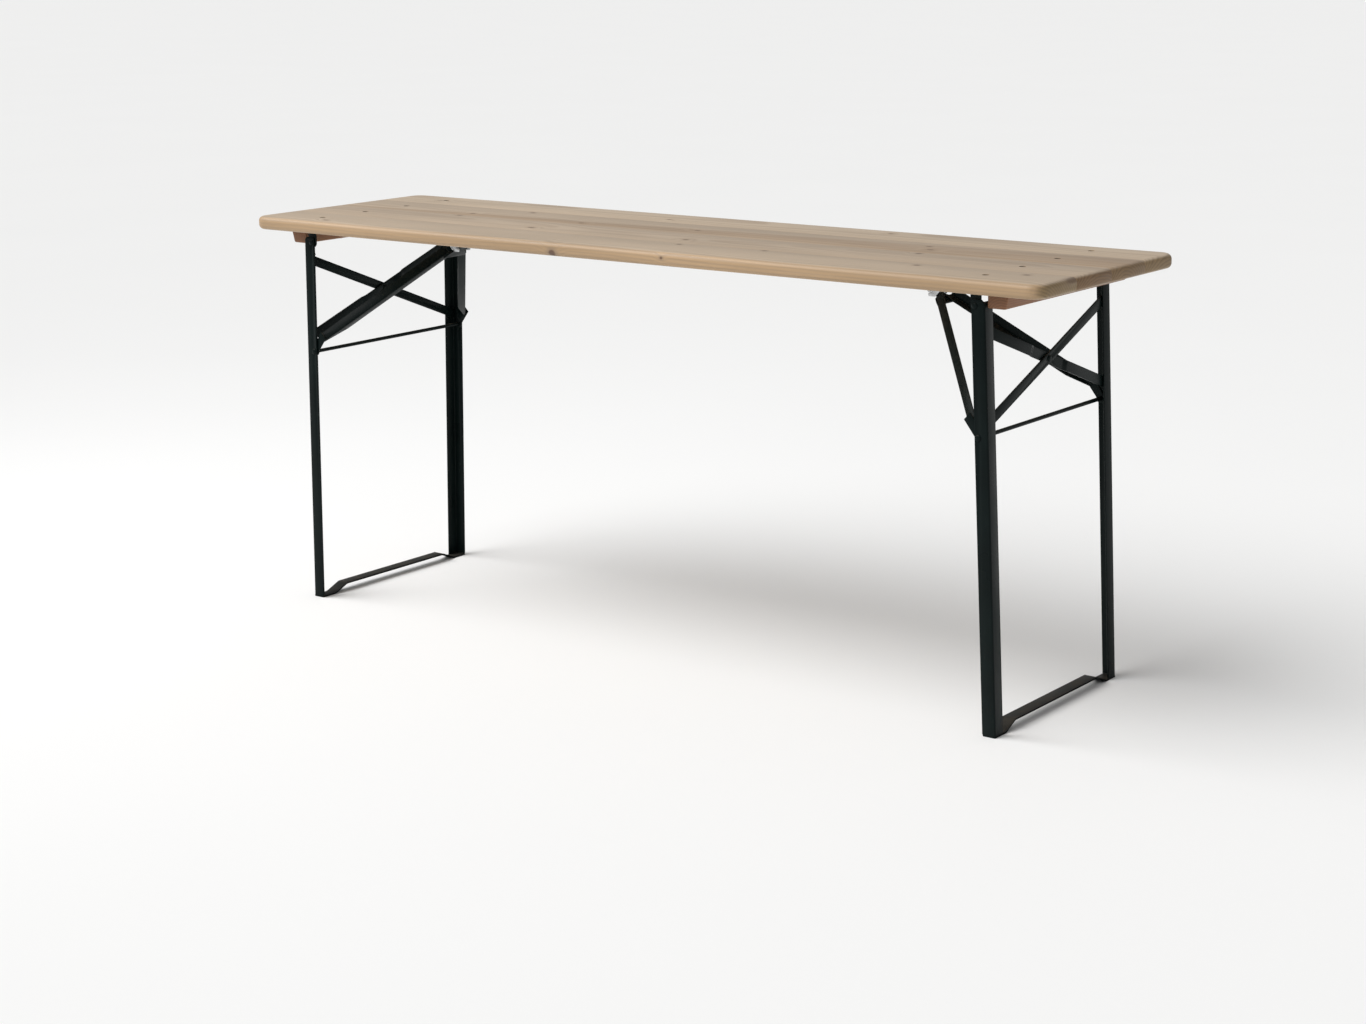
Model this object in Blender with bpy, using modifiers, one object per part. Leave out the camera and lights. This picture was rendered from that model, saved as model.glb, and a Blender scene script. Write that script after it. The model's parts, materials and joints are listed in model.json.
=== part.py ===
"""Folding trestle table: a plank top on two folding steel leg frames, each held by a V brace.

Metres, +Z up, origin on the floor under the middle of the top, +X along the top.
The right-hand frame (+X) is modelled; the left-hand one is the same frame turned half round Z.
"""

import math

import bmesh
import bpy
from mathutils import Matrix, Vector

# Tabletop
TOP_LENGTH = 1.77
TOP_WIDTH = 0.46
TOP_HEIGHT = 0.76
TOP_THICKNESS = 0.025
CORNER_RADIUS = 0.028
EDGE_RADIUS = 0.009
BOARD_COUNT = 4

# Leg frame: angle-section legs that lean outwards towards the feet
FOOT_X = 0.797
LEG_Y = 0.206
ANGLE_WIDTH = 0.025
ANGLE_THICKNESS = 0.003
LEAN = math.radians(2.22)
LEG_TOP_DROP = 0.010
SHOULDER_HEIGHT = 0.004
SHOULDER_CHAMFER = 0.0067
HINGE_DROP = 0.0205
PIVOT_INSET = 0.0185
ROD_HEIGHT = 0.5005
ROD_RADIUS = 0.0035
PIN_RADIUS = 0.003
CROSS_WIDTH = 0.018
RISING_HEIGHT = 0.6015
RISING_SLOPE = math.radians(22.9)
FALLING_HEIGHT = 0.602
FALLING_SLOPE = math.radians(-21.3)
JOGGLE_CREST = 0.052
JOGGLE_FOOT = 0.062
JOGGLE_SKEW = 0.0005
FOOT_RISE = 0.014
FOOT_PAD_LENGTH = 0.034
FOOT_RAMP_LENGTH = 0.032
FOOT_RAMP_SKEW = 0.001

# V brace: angle-section arms that meet at the apex under the top
APEX_X = 0.548
APEX_HEIGHT = 0.702
ARM_WIDTH = 0.017
ARM_THICKNESS = 0.0025
ARM_APEX_Y = 0.010
ARM_LUG_REACH = 0.027
ARM_END_GAP = 0.020
FLANGE_START = 0.028
FLANGE_TAPER_END = 0.062
LUG_LENGTH = 0.040
LUG_RADIUS = 0.0085
LUG_NECK = (0.020, 0.0145)
GUSSET_NOSE = (0.014, 0.012)
GUSSET_WAIST = (0.019, 0.021)
GUSSET_TAIL = (0.033, 0.031)
APEX_PIN_RADIUS = 0.004
APEX_PIN_HALF_LENGTH = 0.024
APEX_PIN_CHAMFER = 0.001

# Catch under the top: a notched bracket and a leaf spring, both placed from the apex pin
CATCH_TILT = math.radians(20)
CATCH_PLAY = 0.0005
CATCH_LIP = 0.0055
CATCH_BACK = 0.029
CATCH_CHIN = 0.0125
CATCH_HEEL = 0.0085
CATCH_HEEL_RISE = 0.010
CHEEK_INNER_Y = 0.0145
WING_Y = 0.040
CATCH_SCREW_X = 0.012
CATCH_SCREW_Y = 0.0285
SPRING_THICKNESS = 0.0012
SPRING_HALF_WIDTH = 0.011
SPRING_END = 0.062
SPRING_BEND = 0.035
SPRING_SCREW_X = 0.050
SPRING_SCREW_Y = 0.0055
SPRING_NOSE = 0.0055
SPRING_NOSE_DROP = 0.0035

# Battens and small fittings
BATTEN_WIDTH = 0.040
BATTEN_THICKNESS = 0.024
BATTEN_HALF_LENGTH = 0.200
BATTEN_SLANT = 0.006
BATTEN_ROUNDING = 0.003
BATTEN_CLEARANCE = 0.0013
BATTEN_SCREW_Y = 0.092
STRAP_THICKNESS = 0.0025
STRAP_HALF_WIDTH = 0.0098
SCREW_RADIUS = 0.002
SCREW_HEAD_RADIUS = 0.0042
SCREW_HEAD_HEIGHT = 0.0022
SCREW_BITE = 0.016
BATTEN_SCREW_BITE = 0.014
RIVET_HEAD_RADIUS = 0.0055
RIVET_HEAD_HEIGHT = 0.0022
RIVET_SHANK_RADIUS = 0.0025
RIVET_TAIL_RADIUS = 0.0045
RIVET_SINK = 0.0005
ROD_HEAD_RADIUS = 0.0058
BIT_LENGTH = 0.012
GAP = 0.0003
MERGE = 0.00001
OVERCUT = 0.02
ROUND_STEPS = 16

UNDERSIDE = TOP_HEIGHT - TOP_THICKNESS
TAN_LEAN = math.tan(LEAN)
HINGE_HEIGHT = UNDERSIDE - HINGE_DROP


def leaned_x(inset, height):
    """X of a line that lies inset from the legs' outer face, at this height."""
    return FOOT_X - inset - height * TAN_LEAN


HINGE = Vector((leaned_x(PIVOT_INSET, HINGE_HEIGHT), 0, HINGE_HEIGHT))
ROD = Vector((leaned_x(PIVOT_INSET, ROD_HEIGHT), 0, ROD_HEIGHT))
APEX = Vector((APEX_X, 0, APEX_HEIGHT))
REACH = (APEX - ROD).length
BATTEN_INNER_X = leaned_x(0, UNDERSIDE - BATTEN_THICKNESS) + BATTEN_CLEARANCE

# Frames whose columns are the directions of an outline's two axes and of its extrusion.
ALONG_X = Matrix(((0, 0, 1, 0), (1, 0, 0, 0), (0, 1, 0, 0), (0, 0, 0, 1)))
ALONG_Y = Matrix(((1, 0, 0, 0), (0, 0, 1, 0), (0, 1, 0, 0), (0, 0, 0, 1)))
LEANING = Matrix(((1, 0, -TAN_LEAN, 0), (0, 1, 0, 0), (0, 0, 1, 0), (0, 0, 0, 1)))
MIRROR_Y = Matrix.Diagonal((1, -1, 1, 1))


def brace_frame():
    """Origin on the rod; columns: towards the apex, +Y, and out of the brace's plane, up and outboard."""
    along = (APEX - ROD).normalized()
    out = Vector((0, 1, 0)).cross(along)
    frame = Matrix((along, (0, 1, 0), out)).transposed().to_4x4()
    frame.translation = ROD
    return frame


BRACE = brace_frame()


def clear_scene():
    """Removes every object of the scene."""
    for obj in list(bpy.data.objects):
        bpy.data.objects.remove(obj, do_unlink=True)


def new_collection(name):
    """A new collection, linked to the scene."""
    collection = bpy.data.collections.new(name)
    bpy.context.scene.collection.children.link(collection)
    return collection


def principled(name, colour, roughness, metallic):
    """A plain material."""
    material = bpy.data.materials.new(name)
    material.use_nodes = True
    shader = material.node_tree.nodes["Principled BSDF"]
    shader.inputs["Base Color"].default_value = (*colour, 1)
    shader.inputs["Roughness"].default_value = roughness
    shader.inputs["Metallic"].default_value = metallic
    material.diffuse_color = (*colour, 1)
    return material


class Shop:
    """The collections, the materials and the pivots that pieces hang on."""

    def __init__(self):
        self.parts = new_collection("folding_table")
        self.tools = new_collection("cutters")
        self.wood = principled("top_wood", (0.55, 0.42, 0.29), 0.55, 0)
        self.batten_wood = principled("batten_wood", (0.50, 0.34, 0.21), 0.6, 0)
        self.paint = principled("painted_steel", (0.012, 0.02, 0.02), 0.45, 0)
        self.zinc = principled("zinc_steel", (0.55, 0.56, 0.57), 0.35, 1)
        self.dull = principled("dull_steel", (0.16, 0.14, 0.12), 0.5, 1)
        self.spring = principled("spring_steel", (0.36, 0.37, 0.39), 0.3, 1)

    def empty(self, name, position, turn=0, parent=None):
        """An empty that pieces are parented to."""
        pivot = bpy.data.objects.new(name, None)
        pivot.empty_display_size = 0.04
        pivot.location = position
        pivot.rotation_euler = (0, 0, turn)
        pivot.parent = parent
        self.parts.objects.link(pivot)
        return pivot

    def add(self, obj, pivot, material):
        """Makes obj a part: its mesh, drawn in the frame side's own axes, gets its origin at the pivot."""
        hang(obj, pivot)
        obj.data.materials.append(material)
        self.parts.objects.link(obj)
        return obj

    def tool(self, piece, obj, operation="DIFFERENCE"):
        """Applies obj, drawn in the same axes as the piece, to the piece with a Boolean."""
        hang(obj, piece.parent)
        self.tools.objects.link(obj)
        obj.hide_render = True
        obj.display_type = "WIRE"
        boolean = piece.modifiers.new(obj.name, "BOOLEAN")
        boolean.operation = operation
        boolean.object = obj


def hang(obj, pivot):
    """Parents obj to the pivot without moving it in the frame side's axes."""
    offset = Vector(pivot["in_side_axes"]) if pivot else Vector()
    obj.parent = pivot
    if obj.location.length or obj.rotation_euler.to_quaternion().angle:
        obj.location = obj.location - offset
    else:
        obj.data.transform(Matrix.Translation(-offset))


def prism(name, outline, low, high, frame):
    """A flat outline in the frame's XY plane, solid from low to high along the frame's Z."""
    curve = bpy.data.curves.new(name, "CURVE")
    curve.dimensions = "2D"
    curve.fill_mode = "BOTH"
    curve.extrude = (high - low) / 2
    spline = curve.splines.new("POLY")
    spline.points.add(len(outline) - 1)
    for point, (u, v) in zip(spline.points, outline):
        point.co = (u, v, 0, 1)
    spline.use_cyclic_u = True
    guide = bpy.data.objects.new(name + "_outline", curve)
    bpy.context.scene.collection.objects.link(guide)
    graph = bpy.context.evaluated_depsgraph_get()
    mesh = bpy.data.meshes.new_from_object(guide.evaluated_get(graph))
    bpy.data.objects.remove(guide)
    bpy.data.curves.remove(curve)
    shape = bmesh.new()
    shape.from_mesh(mesh)
    bmesh.ops.remove_doubles(shape, verts=shape.verts, dist=MERGE)
    middle = Matrix.Translation((0, 0, (low + high) / 2))
    bmesh.ops.transform(shape, matrix=frame @ middle, verts=shape.verts)
    bmesh.ops.recalc_face_normals(shape, faces=shape.faces)
    shape.to_mesh(mesh)
    shape.free()
    mesh.name = name
    return bpy.data.objects.new(name, mesh)


def block(name, low, high):
    """A box between two opposite corners."""
    low, high = Vector(low), Vector(high)
    mesh = bpy.data.meshes.new(name)
    shape = bmesh.new()
    bmesh.ops.create_cube(shape, size=1)
    bmesh.ops.scale(shape, vec=high - low, verts=shape.verts)
    bmesh.ops.translate(shape, vec=(low + high) / 2, verts=shape.verts)
    shape.to_mesh(mesh)
    shape.free()
    return bpy.data.objects.new(name, mesh)


def drill_bit(name, centre, radius, length, axis):
    """A round cutter centred on a point, along the axis."""
    mesh = bpy.data.meshes.new(name)
    shape = bmesh.new()
    turn = Vector((0, 0, 1)).rotation_difference(Vector(axis)).to_matrix().to_4x4()
    bmesh.ops.create_cone(
        shape, cap_ends=True, segments=ROUND_STEPS, radius1=radius, radius2=radius,
        depth=length, matrix=Matrix.Translation(centre) @ turn,
    )
    shape.to_mesh(mesh)
    shape.free()
    return bpy.data.objects.new(name, mesh)


def turned(name, profile, centre, rotation=(0, 0, 0)):
    """A profile of (radius, height) points, from the top down, turned about its own Z."""
    mesh = bpy.data.meshes.new(name)
    points = [(radius, 0, height) for radius, height in profile]
    mesh.from_pydata(points, [(i, i + 1) for i in range(len(points) - 1)], [])
    obj = bpy.data.objects.new(name, mesh)
    obj.location = centre
    obj.rotation_euler = rotation
    screw = obj.modifiers.new("turn", "SCREW")
    screw.steps = ROUND_STEPS
    screw.render_steps = ROUND_STEPS
    screw.use_merge_vertices = True
    screw.merge_threshold = MERGE
    screw.use_smooth_shade = True
    return obj


def rivet_profile(shank_radius, head_radius, head_height, half_grip):
    """A shank with a chamfered head at each end; half_grip is half the length between the heads."""
    upper = [
        (0, half_grip + head_height),
        (shank_radius, half_grip + head_height),
        (head_radius, half_grip + head_height / 2),
        (head_radius, half_grip),
        (shank_radius, half_grip),
    ]
    return upper + [(radius, -height) for radius, height in reversed(upper)]


def arc(centre, radius, start, end, steps):
    """Points on a circle from one angle to another, in degrees."""
    angles = [math.radians(start + (end - start) * i / steps) for i in range(steps + 1)]
    return [(centre[0] + radius * math.cos(a), centre[1] + radius * math.sin(a)) for a in angles]


def tabletop_slab(name):
    """The whole top before it is divided: rounded in plan and along every edge."""
    mesh = bpy.data.meshes.new(name)
    shape = bmesh.new()
    bmesh.ops.create_cube(shape, size=1)
    bmesh.ops.scale(shape, vec=(TOP_LENGTH, TOP_WIDTH, TOP_THICKNESS), verts=shape.verts)
    bmesh.ops.translate(shape, vec=(0, 0, UNDERSIDE + TOP_THICKNESS / 2), verts=shape.verts)
    upright = [e for e in shape.edges if abs(e.verts[0].co.z - e.verts[1].co.z) > MERGE]
    bmesh.ops.bevel(
        shape, geom=upright, offset=CORNER_RADIUS, segments=6, profile=0.5, affect="EDGES"
    )
    rims = [e for e in shape.edges if abs(e.verts[0].co.z - e.verts[1].co.z) < MERGE]
    bmesh.ops.bevel(
        shape, geom=rims, offset=EDGE_RADIUS, segments=3, profile=0.5, affect="EDGES"
    )
    shape.to_mesh(mesh)
    shape.free()
    return bpy.data.objects.new(name, mesh)


def build_boards(shop):
    """The glued boards, front to back, each cut from the slab."""
    pitch = TOP_WIDTH / BOARD_COUNT
    boards = []
    for index in range(BOARD_COUNT):
        board = shop.add(tabletop_slab(f"tabletop_board_{index + 1}"), None, shop.wood)
        front = -TOP_WIDTH / 2 + index * pitch
        low = front + GAP / 2 if index else front - OVERCUT
        last = index == BOARD_COUNT - 1
        high = front + pitch + OVERCUT if last else front + pitch - GAP / 2
        strip = block(
            f"strip_{index + 1}",
            (-TOP_LENGTH, low, UNDERSIDE - OVERCUT),
            (TOP_LENGTH, high, TOP_HEIGHT + OVERCUT),
        )
        shop.tool(board, strip, "INTERSECT")
        boards.append(board)
    return boards


def board_over(side, place, boards):
    """The board over a place on this side, and that place in the table's own axes."""
    spot = Matrix.Rotation(side.rotation_euler.z, 4, "Z") @ Vector((*place, 0))
    return boards[int((spot.y + TOP_WIDTH / 2) / (TOP_WIDTH / BOARD_COUNT))], spot


def build_screw(shop, name, side, place, grip, bite, boards):
    """A pan-head wood screw driven up at place, the X and Y of its axis on this side.

    grip is the thickness that it holds, and bite is how far it goes into the board.
    """
    x, y = place
    shank_top = UNDERSIDE + bite
    seat = UNDERSIDE - grip - 2 * GAP
    profile = [
        (0, shank_top),
        (SCREW_RADIUS, shank_top - 2 * SCREW_RADIUS),
        (SCREW_RADIUS, seat),
        (SCREW_HEAD_RADIUS, seat),
        (SCREW_HEAD_RADIUS * 0.9, seat - SCREW_HEAD_HEIGHT * 0.7),
        (SCREW_HEAD_RADIUS * 0.5, seat - SCREW_HEAD_HEIGHT),
        (0, seat - SCREW_HEAD_HEIGHT),
    ]
    shop.add(turned(name, profile, (x, y, 0)), side, shop.zinc)
    board, spot = board_over(side, place, boards)
    spot.z = UNDERSIDE
    pilot = drill_bit(f"{name}_pilot", spot, SCREW_RADIUS + GAP, 2 * (bite + GAP), (0, 0, 1))
    shop.tool(board, pilot)


def clearance_hole(shop, piece, name, place, grip):
    """A hole for a screw, right through a piece of this thickness under the top."""
    middle = (*place, UNDERSIDE - grip / 2)
    shop.tool(piece, drill_bit(name, middle, SCREW_RADIUS + GAP, grip + BIT_LENGTH, (0, 0, 1)))


def build_batten(shop, label, side, boards):
    """The wooden stop batten outboard of the legs, with a slanted outer face."""
    inner = BATTEN_INNER_X
    outer = inner + BATTEN_WIDTH
    top = UNDERSIDE - GAP
    bottom = UNDERSIDE - BATTEN_THICKNESS
    outline = [(inner, top), (outer, top), (outer - BATTEN_SLANT, bottom), (inner, bottom)]
    batten = prism(f"{label}_batten", outline, -BATTEN_HALF_LENGTH, BATTEN_HALF_LENGTH, ALONG_Y)
    rounding = batten.modifiers.new("rounding", "BEVEL")
    rounding.width = BATTEN_ROUNDING
    rounding.segments = 2
    shop.add(batten, side, shop.batten_wood)
    for index, y in enumerate((-BATTEN_SCREW_Y, BATTEN_SCREW_Y)):
        name = f"{label}_batten_screw_{index + 1}"
        place = (inner + (BATTEN_WIDTH - BATTEN_SLANT) / 2, y)
        clearance_hole(shop, batten, f"{name}_hole", place, BATTEN_THICKNESS)
        build_screw(shop, name, side, place, BATTEN_THICKNESS, BATTEN_SCREW_BITE, boards)


def build_leg(shop, name, pivot, mirror):
    """An angle-section leg: one flange faces front or rear, the other faces the table's end."""
    corner = Vector((FOOT_X, -LEG_Y))
    width, wall = ANGLE_WIDTH, ANGLE_THICKNESS
    section = [(0, 0), (0, width), (-wall, width), (-wall, wall), (-width, wall), (-width, 0)]
    outline = [(corner.x + u, corner.y + v) for u, v in section]
    foot = ANGLE_THICKNESS + GAP
    top = UNDERSIDE - LEG_TOP_DROP
    leg = prism(name, outline, foot, top, mirror @ LEANING)
    shop.add(leg, pivot, shop.paint)
    # The outer shoulder is cut back at 45 degrees, or it would strike the top as the leg folds.
    edge, low = HINGE.x + PIVOT_INSET, HINGE.z + SHOULDER_HEIGHT
    inner, high = edge - SHOULDER_CHAMFER, low + SHOULDER_CHAMFER
    shoulder = [
        (inner, high), (inner, high + OVERCUT), (edge + OVERCUT, high + OVERCUT),
        (edge + OVERCUT, low), (edge, low),
    ]
    ends = LEG_Y + OVERCUT
    shop.tool(leg, prism(f"{name}_shoulder", shoulder, -ends, ends, ALONG_Y))
    for label, centre, radius in (("pin", HINGE, PIN_RADIUS), ("rod", ROD, ROD_RADIUS)):
        point = mirror @ (centre + Vector((0, -LEG_Y, 0)))
        shop.tool(leg, drill_bit(f"{name}_{label}_hole", point, radius + GAP, BIT_LENGTH, (0, 1, 0)))


def crossing():
    """Y and Z of the point where the two bars' centre lines cross."""
    rise = math.tan(RISING_SLOPE)
    y = (FALLING_HEIGHT - RISING_HEIGHT) / (rise - math.tan(FALLING_SLOPE))
    return y, RISING_HEIGHT + y * rise


def bar_frame(height, slope):
    """Columns: along a cross bar, inboard through its thickness, and across its width."""
    along = Vector((0, math.cos(slope), math.sin(slope)))
    across = Vector((0, -math.sin(slope), math.cos(slope)))
    frame = Matrix((along, (-1, 0, 0), across)).transposed().to_4x4()
    frame.translation = (FOOT_X - ANGLE_THICKNESS - GAP, 0, height)
    return LEANING @ frame


def bar_half(slope):
    """Half the length of a cross bar that ends just short of the legs' outer flanges."""
    room = LEG_Y - ANGLE_THICKNESS - 2 * GAP - CROSS_WIDTH / 2 * abs(math.sin(slope))
    return room / math.cos(slope)


def joggled_outline(half, middle):
    """A bar's outline that steps over the other bar at its middle, along the bar."""
    wall, step = ANGLE_THICKNESS, ANGLE_THICKNESS + GAP
    foot, crest, skew = JOGGLE_FOOT, JOGGLE_CREST, JOGGLE_SKEW
    near = [(middle - foot, 0), (middle - crest, step), (middle + crest, step), (middle + foot, 0)]
    far = [
        (middle + foot + skew, wall), (middle + crest + skew, wall + step),
        (middle - crest - skew, wall + step), (middle - foot - skew, wall),
    ]
    return [(-half, 0)] + near + [(half, 0), (half, wall)] + far + [(-half, wall)]


def build_cross(shop, label, pivot):
    """Two flat bars crossed between the legs; the falling one is joggled over the other and riveted."""
    wall, step = ANGLE_THICKNESS, ANGLE_THICKNESS + GAP
    y, z = crossing()
    centre = Vector((leaned_x(wall + step + GAP / 2, z), y, z))
    normal = Vector((1, 0, TAN_LEAN)).normalized()
    half = bar_half(RISING_SLOPE)
    straight = [(-half, 0), (half, 0), (half, wall), (-half, wall)]
    joggled = joggled_outline(bar_half(FALLING_SLOPE), y / math.cos(FALLING_SLOPE))
    bars = (
        ("rising", straight, bar_frame(RISING_HEIGHT, RISING_SLOPE)),
        ("falling", joggled, bar_frame(FALLING_HEIGHT, FALLING_SLOPE)),
    )
    for kind, outline, frame in bars:
        name = f"{label}_cross_bar_{kind}"
        bar = prism(name, outline, -CROSS_WIDTH / 2, CROSS_WIDTH / 2, frame)
        shop.add(bar, pivot, shop.paint)
        shop.tool(bar, drill_bit(f"{name}_hole", centre, PIN_RADIUS + GAP, 2 * BIT_LENGTH, normal))
    profile = rivet_profile(PIN_RADIUS, RIVET_HEAD_RADIUS, RIVET_HEAD_HEIGHT, wall + 1.5 * GAP)
    rivet = turned(f"{label}_cross_rivet", profile, centre, (0, math.pi / 2 - LEAN, 0))
    shop.add(rivet, pivot, shop.paint)


def build_foot_bar(shop, label, pivot):
    """A flat bar under both legs, raised clear of the floor between its two pads."""
    wall, rise = ANGLE_THICKNESS, FOOT_RISE
    pad = LEG_Y - FOOT_PAD_LENGTH
    ramp = pad - FOOT_RAMP_LENGTH
    front_below = [(-LEG_Y, 0), (-pad, 0), (-ramp, rise)]
    front_above = [(-LEG_Y, wall), (-pad, wall), (FOOT_RAMP_SKEW - ramp, rise + wall)]
    lower = front_below + [(-y, z) for y, z in reversed(front_below)]
    upper = [(-y, z) for y, z in front_above] + list(reversed(front_above))
    bar = prism(f"{label}_foot_bar", lower + upper, FOOT_X - ANGLE_WIDTH, FOOT_X, ALONG_X)
    bar.data.transform(LEANING)
    shop.add(bar, pivot, shop.paint)


def build_rod(shop, label, pivot):
    """The cross rod, riveted over outside both legs; the brace turns on it."""
    profile = rivet_profile(ROD_RADIUS, ROD_HEAD_RADIUS, RIVET_HEAD_HEIGHT, LEG_Y + GAP)
    rod = turned(f"{label}_cross_rod", profile, ROD, (math.pi / 2, 0, 0))
    shop.add(rod, pivot, shop.paint)


def build_hinge_rail(shop, label, side):
    """A strap across under the top, with an ear at each end beside a leg's flange."""
    outer_face = LEG_Y - ANGLE_THICKNESS - GAP
    inner_face = outer_face - STRAP_THICKNESS
    hx, hz, half, top = HINGE.x, HINGE.z, STRAP_HALF_WIDTH, UNDERSIDE - GAP
    low, high = (hx - half, -outer_face, top - STRAP_THICKNESS), (hx + half, outer_face, top)
    rail = shop.add(block(f"{label}_hinge_rail", low, high), side, shop.paint)
    ear = [(hx + half, top), (hx + half, hz)]
    ear += arc((hx, hz), half, 0, -180, 8)[1:-1]
    ear += [(hx - half, hz), (hx - half, top)]
    for kind, y in (("front", -outer_face), ("rear", inner_face)):
        shop.tool(rail, prism(f"{rail.name}_{kind}_ear", ear, y, y + STRAP_THICKNESS, ALONG_Y), "UNION")
        middle = Vector((hx, y + STRAP_THICKNESS / 2, hz))
        bit = drill_bit(f"{rail.name}_{kind}_hole", middle, PIN_RADIUS + GAP, BIT_LENGTH, (0, 1, 0))
        shop.tool(rail, bit)
    return rail


def build_hinge_pin(shop, label, side, sign):
    """A rivet through a leg's flange and the ear beside it."""
    outside, inside = LEG_Y + GAP, LEG_Y - ANGLE_THICKNESS - STRAP_THICKNESS - 2 * GAP
    half_grip = (outside - inside) / 2
    profile = rivet_profile(PIN_RADIUS, RIVET_HEAD_RADIUS, RIVET_HEAD_HEIGHT, half_grip)
    centre = (HINGE.x, sign * (outside + inside) / 2, HINGE.z)
    shop.add(turned(f"{label}_hinge_pin", profile, centre, (math.pi / 2, 0, 0)), side, shop.paint)


def build_top_rivets(shop, label, side, rail, boards):
    """One rivet for each board, through it and the hinge rail, with its head sunk in the top."""
    pitch = TOP_WIDTH / BOARD_COUNT
    head = TOP_HEIGHT - RIVET_SINK
    seat = head - RIVET_HEAD_HEIGHT
    tail = UNDERSIDE - STRAP_THICKNESS - 2 * GAP
    profile = [
        (0, head), (RIVET_HEAD_RADIUS, head), (RIVET_HEAD_RADIUS, seat), (RIVET_SHANK_RADIUS, seat),
        (RIVET_SHANK_RADIUS, tail), (RIVET_TAIL_RADIUS, tail),
        (RIVET_TAIL_RADIUS, tail - RIVET_HEAD_HEIGHT / 2),
        (RIVET_SHANK_RADIUS, tail - RIVET_HEAD_HEIGHT), (0, tail - RIVET_HEAD_HEIGHT),
    ]
    hole, up = RIVET_SHANK_RADIUS + GAP, (0, 0, 1)
    sink = 2 * (RIVET_SINK + RIVET_HEAD_HEIGHT + GAP)
    for index in range(BOARD_COUNT):
        name = f"{label}_top_rivet_{index + 1}"
        place = (HINGE.x, pitch * (index + 0.5) - TOP_WIDTH / 2)
        shop.add(turned(name, profile, (*place, 0)), side, shop.dull)
        board, spot = board_over(side, place, boards)
        spot.z = TOP_HEIGHT
        shop.tool(board, drill_bit(f"{name}_hole", spot, hole, 3 * TOP_THICKNESS, up))
        shop.tool(board, drill_bit(f"{name}_sink", spot, RIVET_HEAD_RADIUS + GAP, sink, up))
        middle = (*place, UNDERSIDE - STRAP_THICKNESS / 2)
        shop.tool(rail, drill_bit(f"{name}_rail_hole", middle, hole, BIT_LENGTH, up))


def arm_edge(distance):
    """How far the arm's outer edge is from the brace's centre line, this far from the rod."""
    spread = LEG_Y - ANGLE_THICKNESS - 2 * GAP - ARM_APEX_Y
    return ARM_APEX_Y + spread * (REACH - distance) / (REACH - ARM_LUG_REACH)


def arm_strip(name, stations, low, high):
    """A strip along an arm's outer edge, between two heights out of the brace's plane.

    Each station is a distance from the rod and the strip's two widths inward there.
    """
    outer = [(along, near - arm_edge(along)) for along, near, _ in stations]
    inner = [(along, far - arm_edge(along)) for along, _, far in reversed(stations)]
    return prism(name, outer + inner, low, high, BRACE)


def build_arm(shop, name, pivot, mirrored):
    """One arm of the V: an angle section whose outer web ends in a lug on the rod."""
    slope = math.atan((arm_edge(0) - arm_edge(REACH)) / REACH)
    width, wall = ARM_WIDTH / math.cos(slope), ARM_THICKNESS / math.cos(slope)
    start, end = ARM_LUG_REACH, REACH - ARM_END_GAP
    outer_face = LEG_Y - ANGLE_THICKNESS - GAP
    lug = [(LUG_LENGTH, 0), (LUG_LENGTH, ARM_WIDTH), LUG_NECK]
    lug += arc((0, 0), LUG_RADIUS, 80, 290, 8)
    sideways = BRACE @ Matrix(((1, 0, 0, 0), (0, 0, 1, 0), (0, 1, 0, 0), (0, 0, 0, 1)))
    within, stop = wall / 2, end - GAP
    web = [(start, 0, wall), (end, 0, wall)]
    flange = [(FLANGE_START, within, wall), (FLANGE_TAPER_END, within, width), (stop, within, width)]
    pieces = [
        arm_strip(name, web, 0, ARM_WIDTH),
        arm_strip(f"{name}_flange", flange, 0, ARM_THICKNESS),
        prism(f"{name}_lug", lug, -outer_face, -outer_face + ARM_THICKNESS, sideways),
    ]
    if mirrored:
        for obj in pieces:
            obj.data.transform(MIRROR_Y)
            obj.data.flip_normals()
    arm = shop.add(pieces[0], pivot, shop.paint)
    for obj in pieces[1:]:
        shop.tool(arm, obj, "UNION")
    y = outer_face if mirrored else -outer_face
    point = ROD + Vector((0, y, 0))
    shop.tool(arm, drill_bit(f"{name}_rod_hole", point, ROD_RADIUS + GAP, BIT_LENGTH, (0, 1, 0)))


def build_apex(shop, label, pivot):
    """The gusset that joins the arms and the pin that the catch holds."""
    nose_tip = APEX_PIN_RADIUS + GAP
    corners = [(nose_tip, GUSSET_NOSE[1]), GUSSET_NOSE, GUSSET_WAIST, GUSSET_TAIL]
    front = [(REACH - back, -half_width) for back, half_width in corners]
    outline = front + [(along, -y) for along, y in reversed(front)]
    gusset = prism(f"{label}_brace_gusset", outline, -ANGLE_THICKNESS - GAP, -GAP, BRACE)
    shop.add(gusset, pivot, shop.paint)
    chamfer, radius, end = APEX_PIN_CHAMFER, APEX_PIN_RADIUS, APEX_PIN_HALF_LENGTH
    profile = [
        (0, end), (radius - chamfer, end), (radius, end - chamfer),
        (radius, chamfer - end), (radius - chamfer, -end), (0, -end),
    ]
    pin = turned(f"{label}_apex_pin", profile, APEX, (math.pi / 2, 0, 0))
    shop.add(pin, pivot, shop.zinc)


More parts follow.
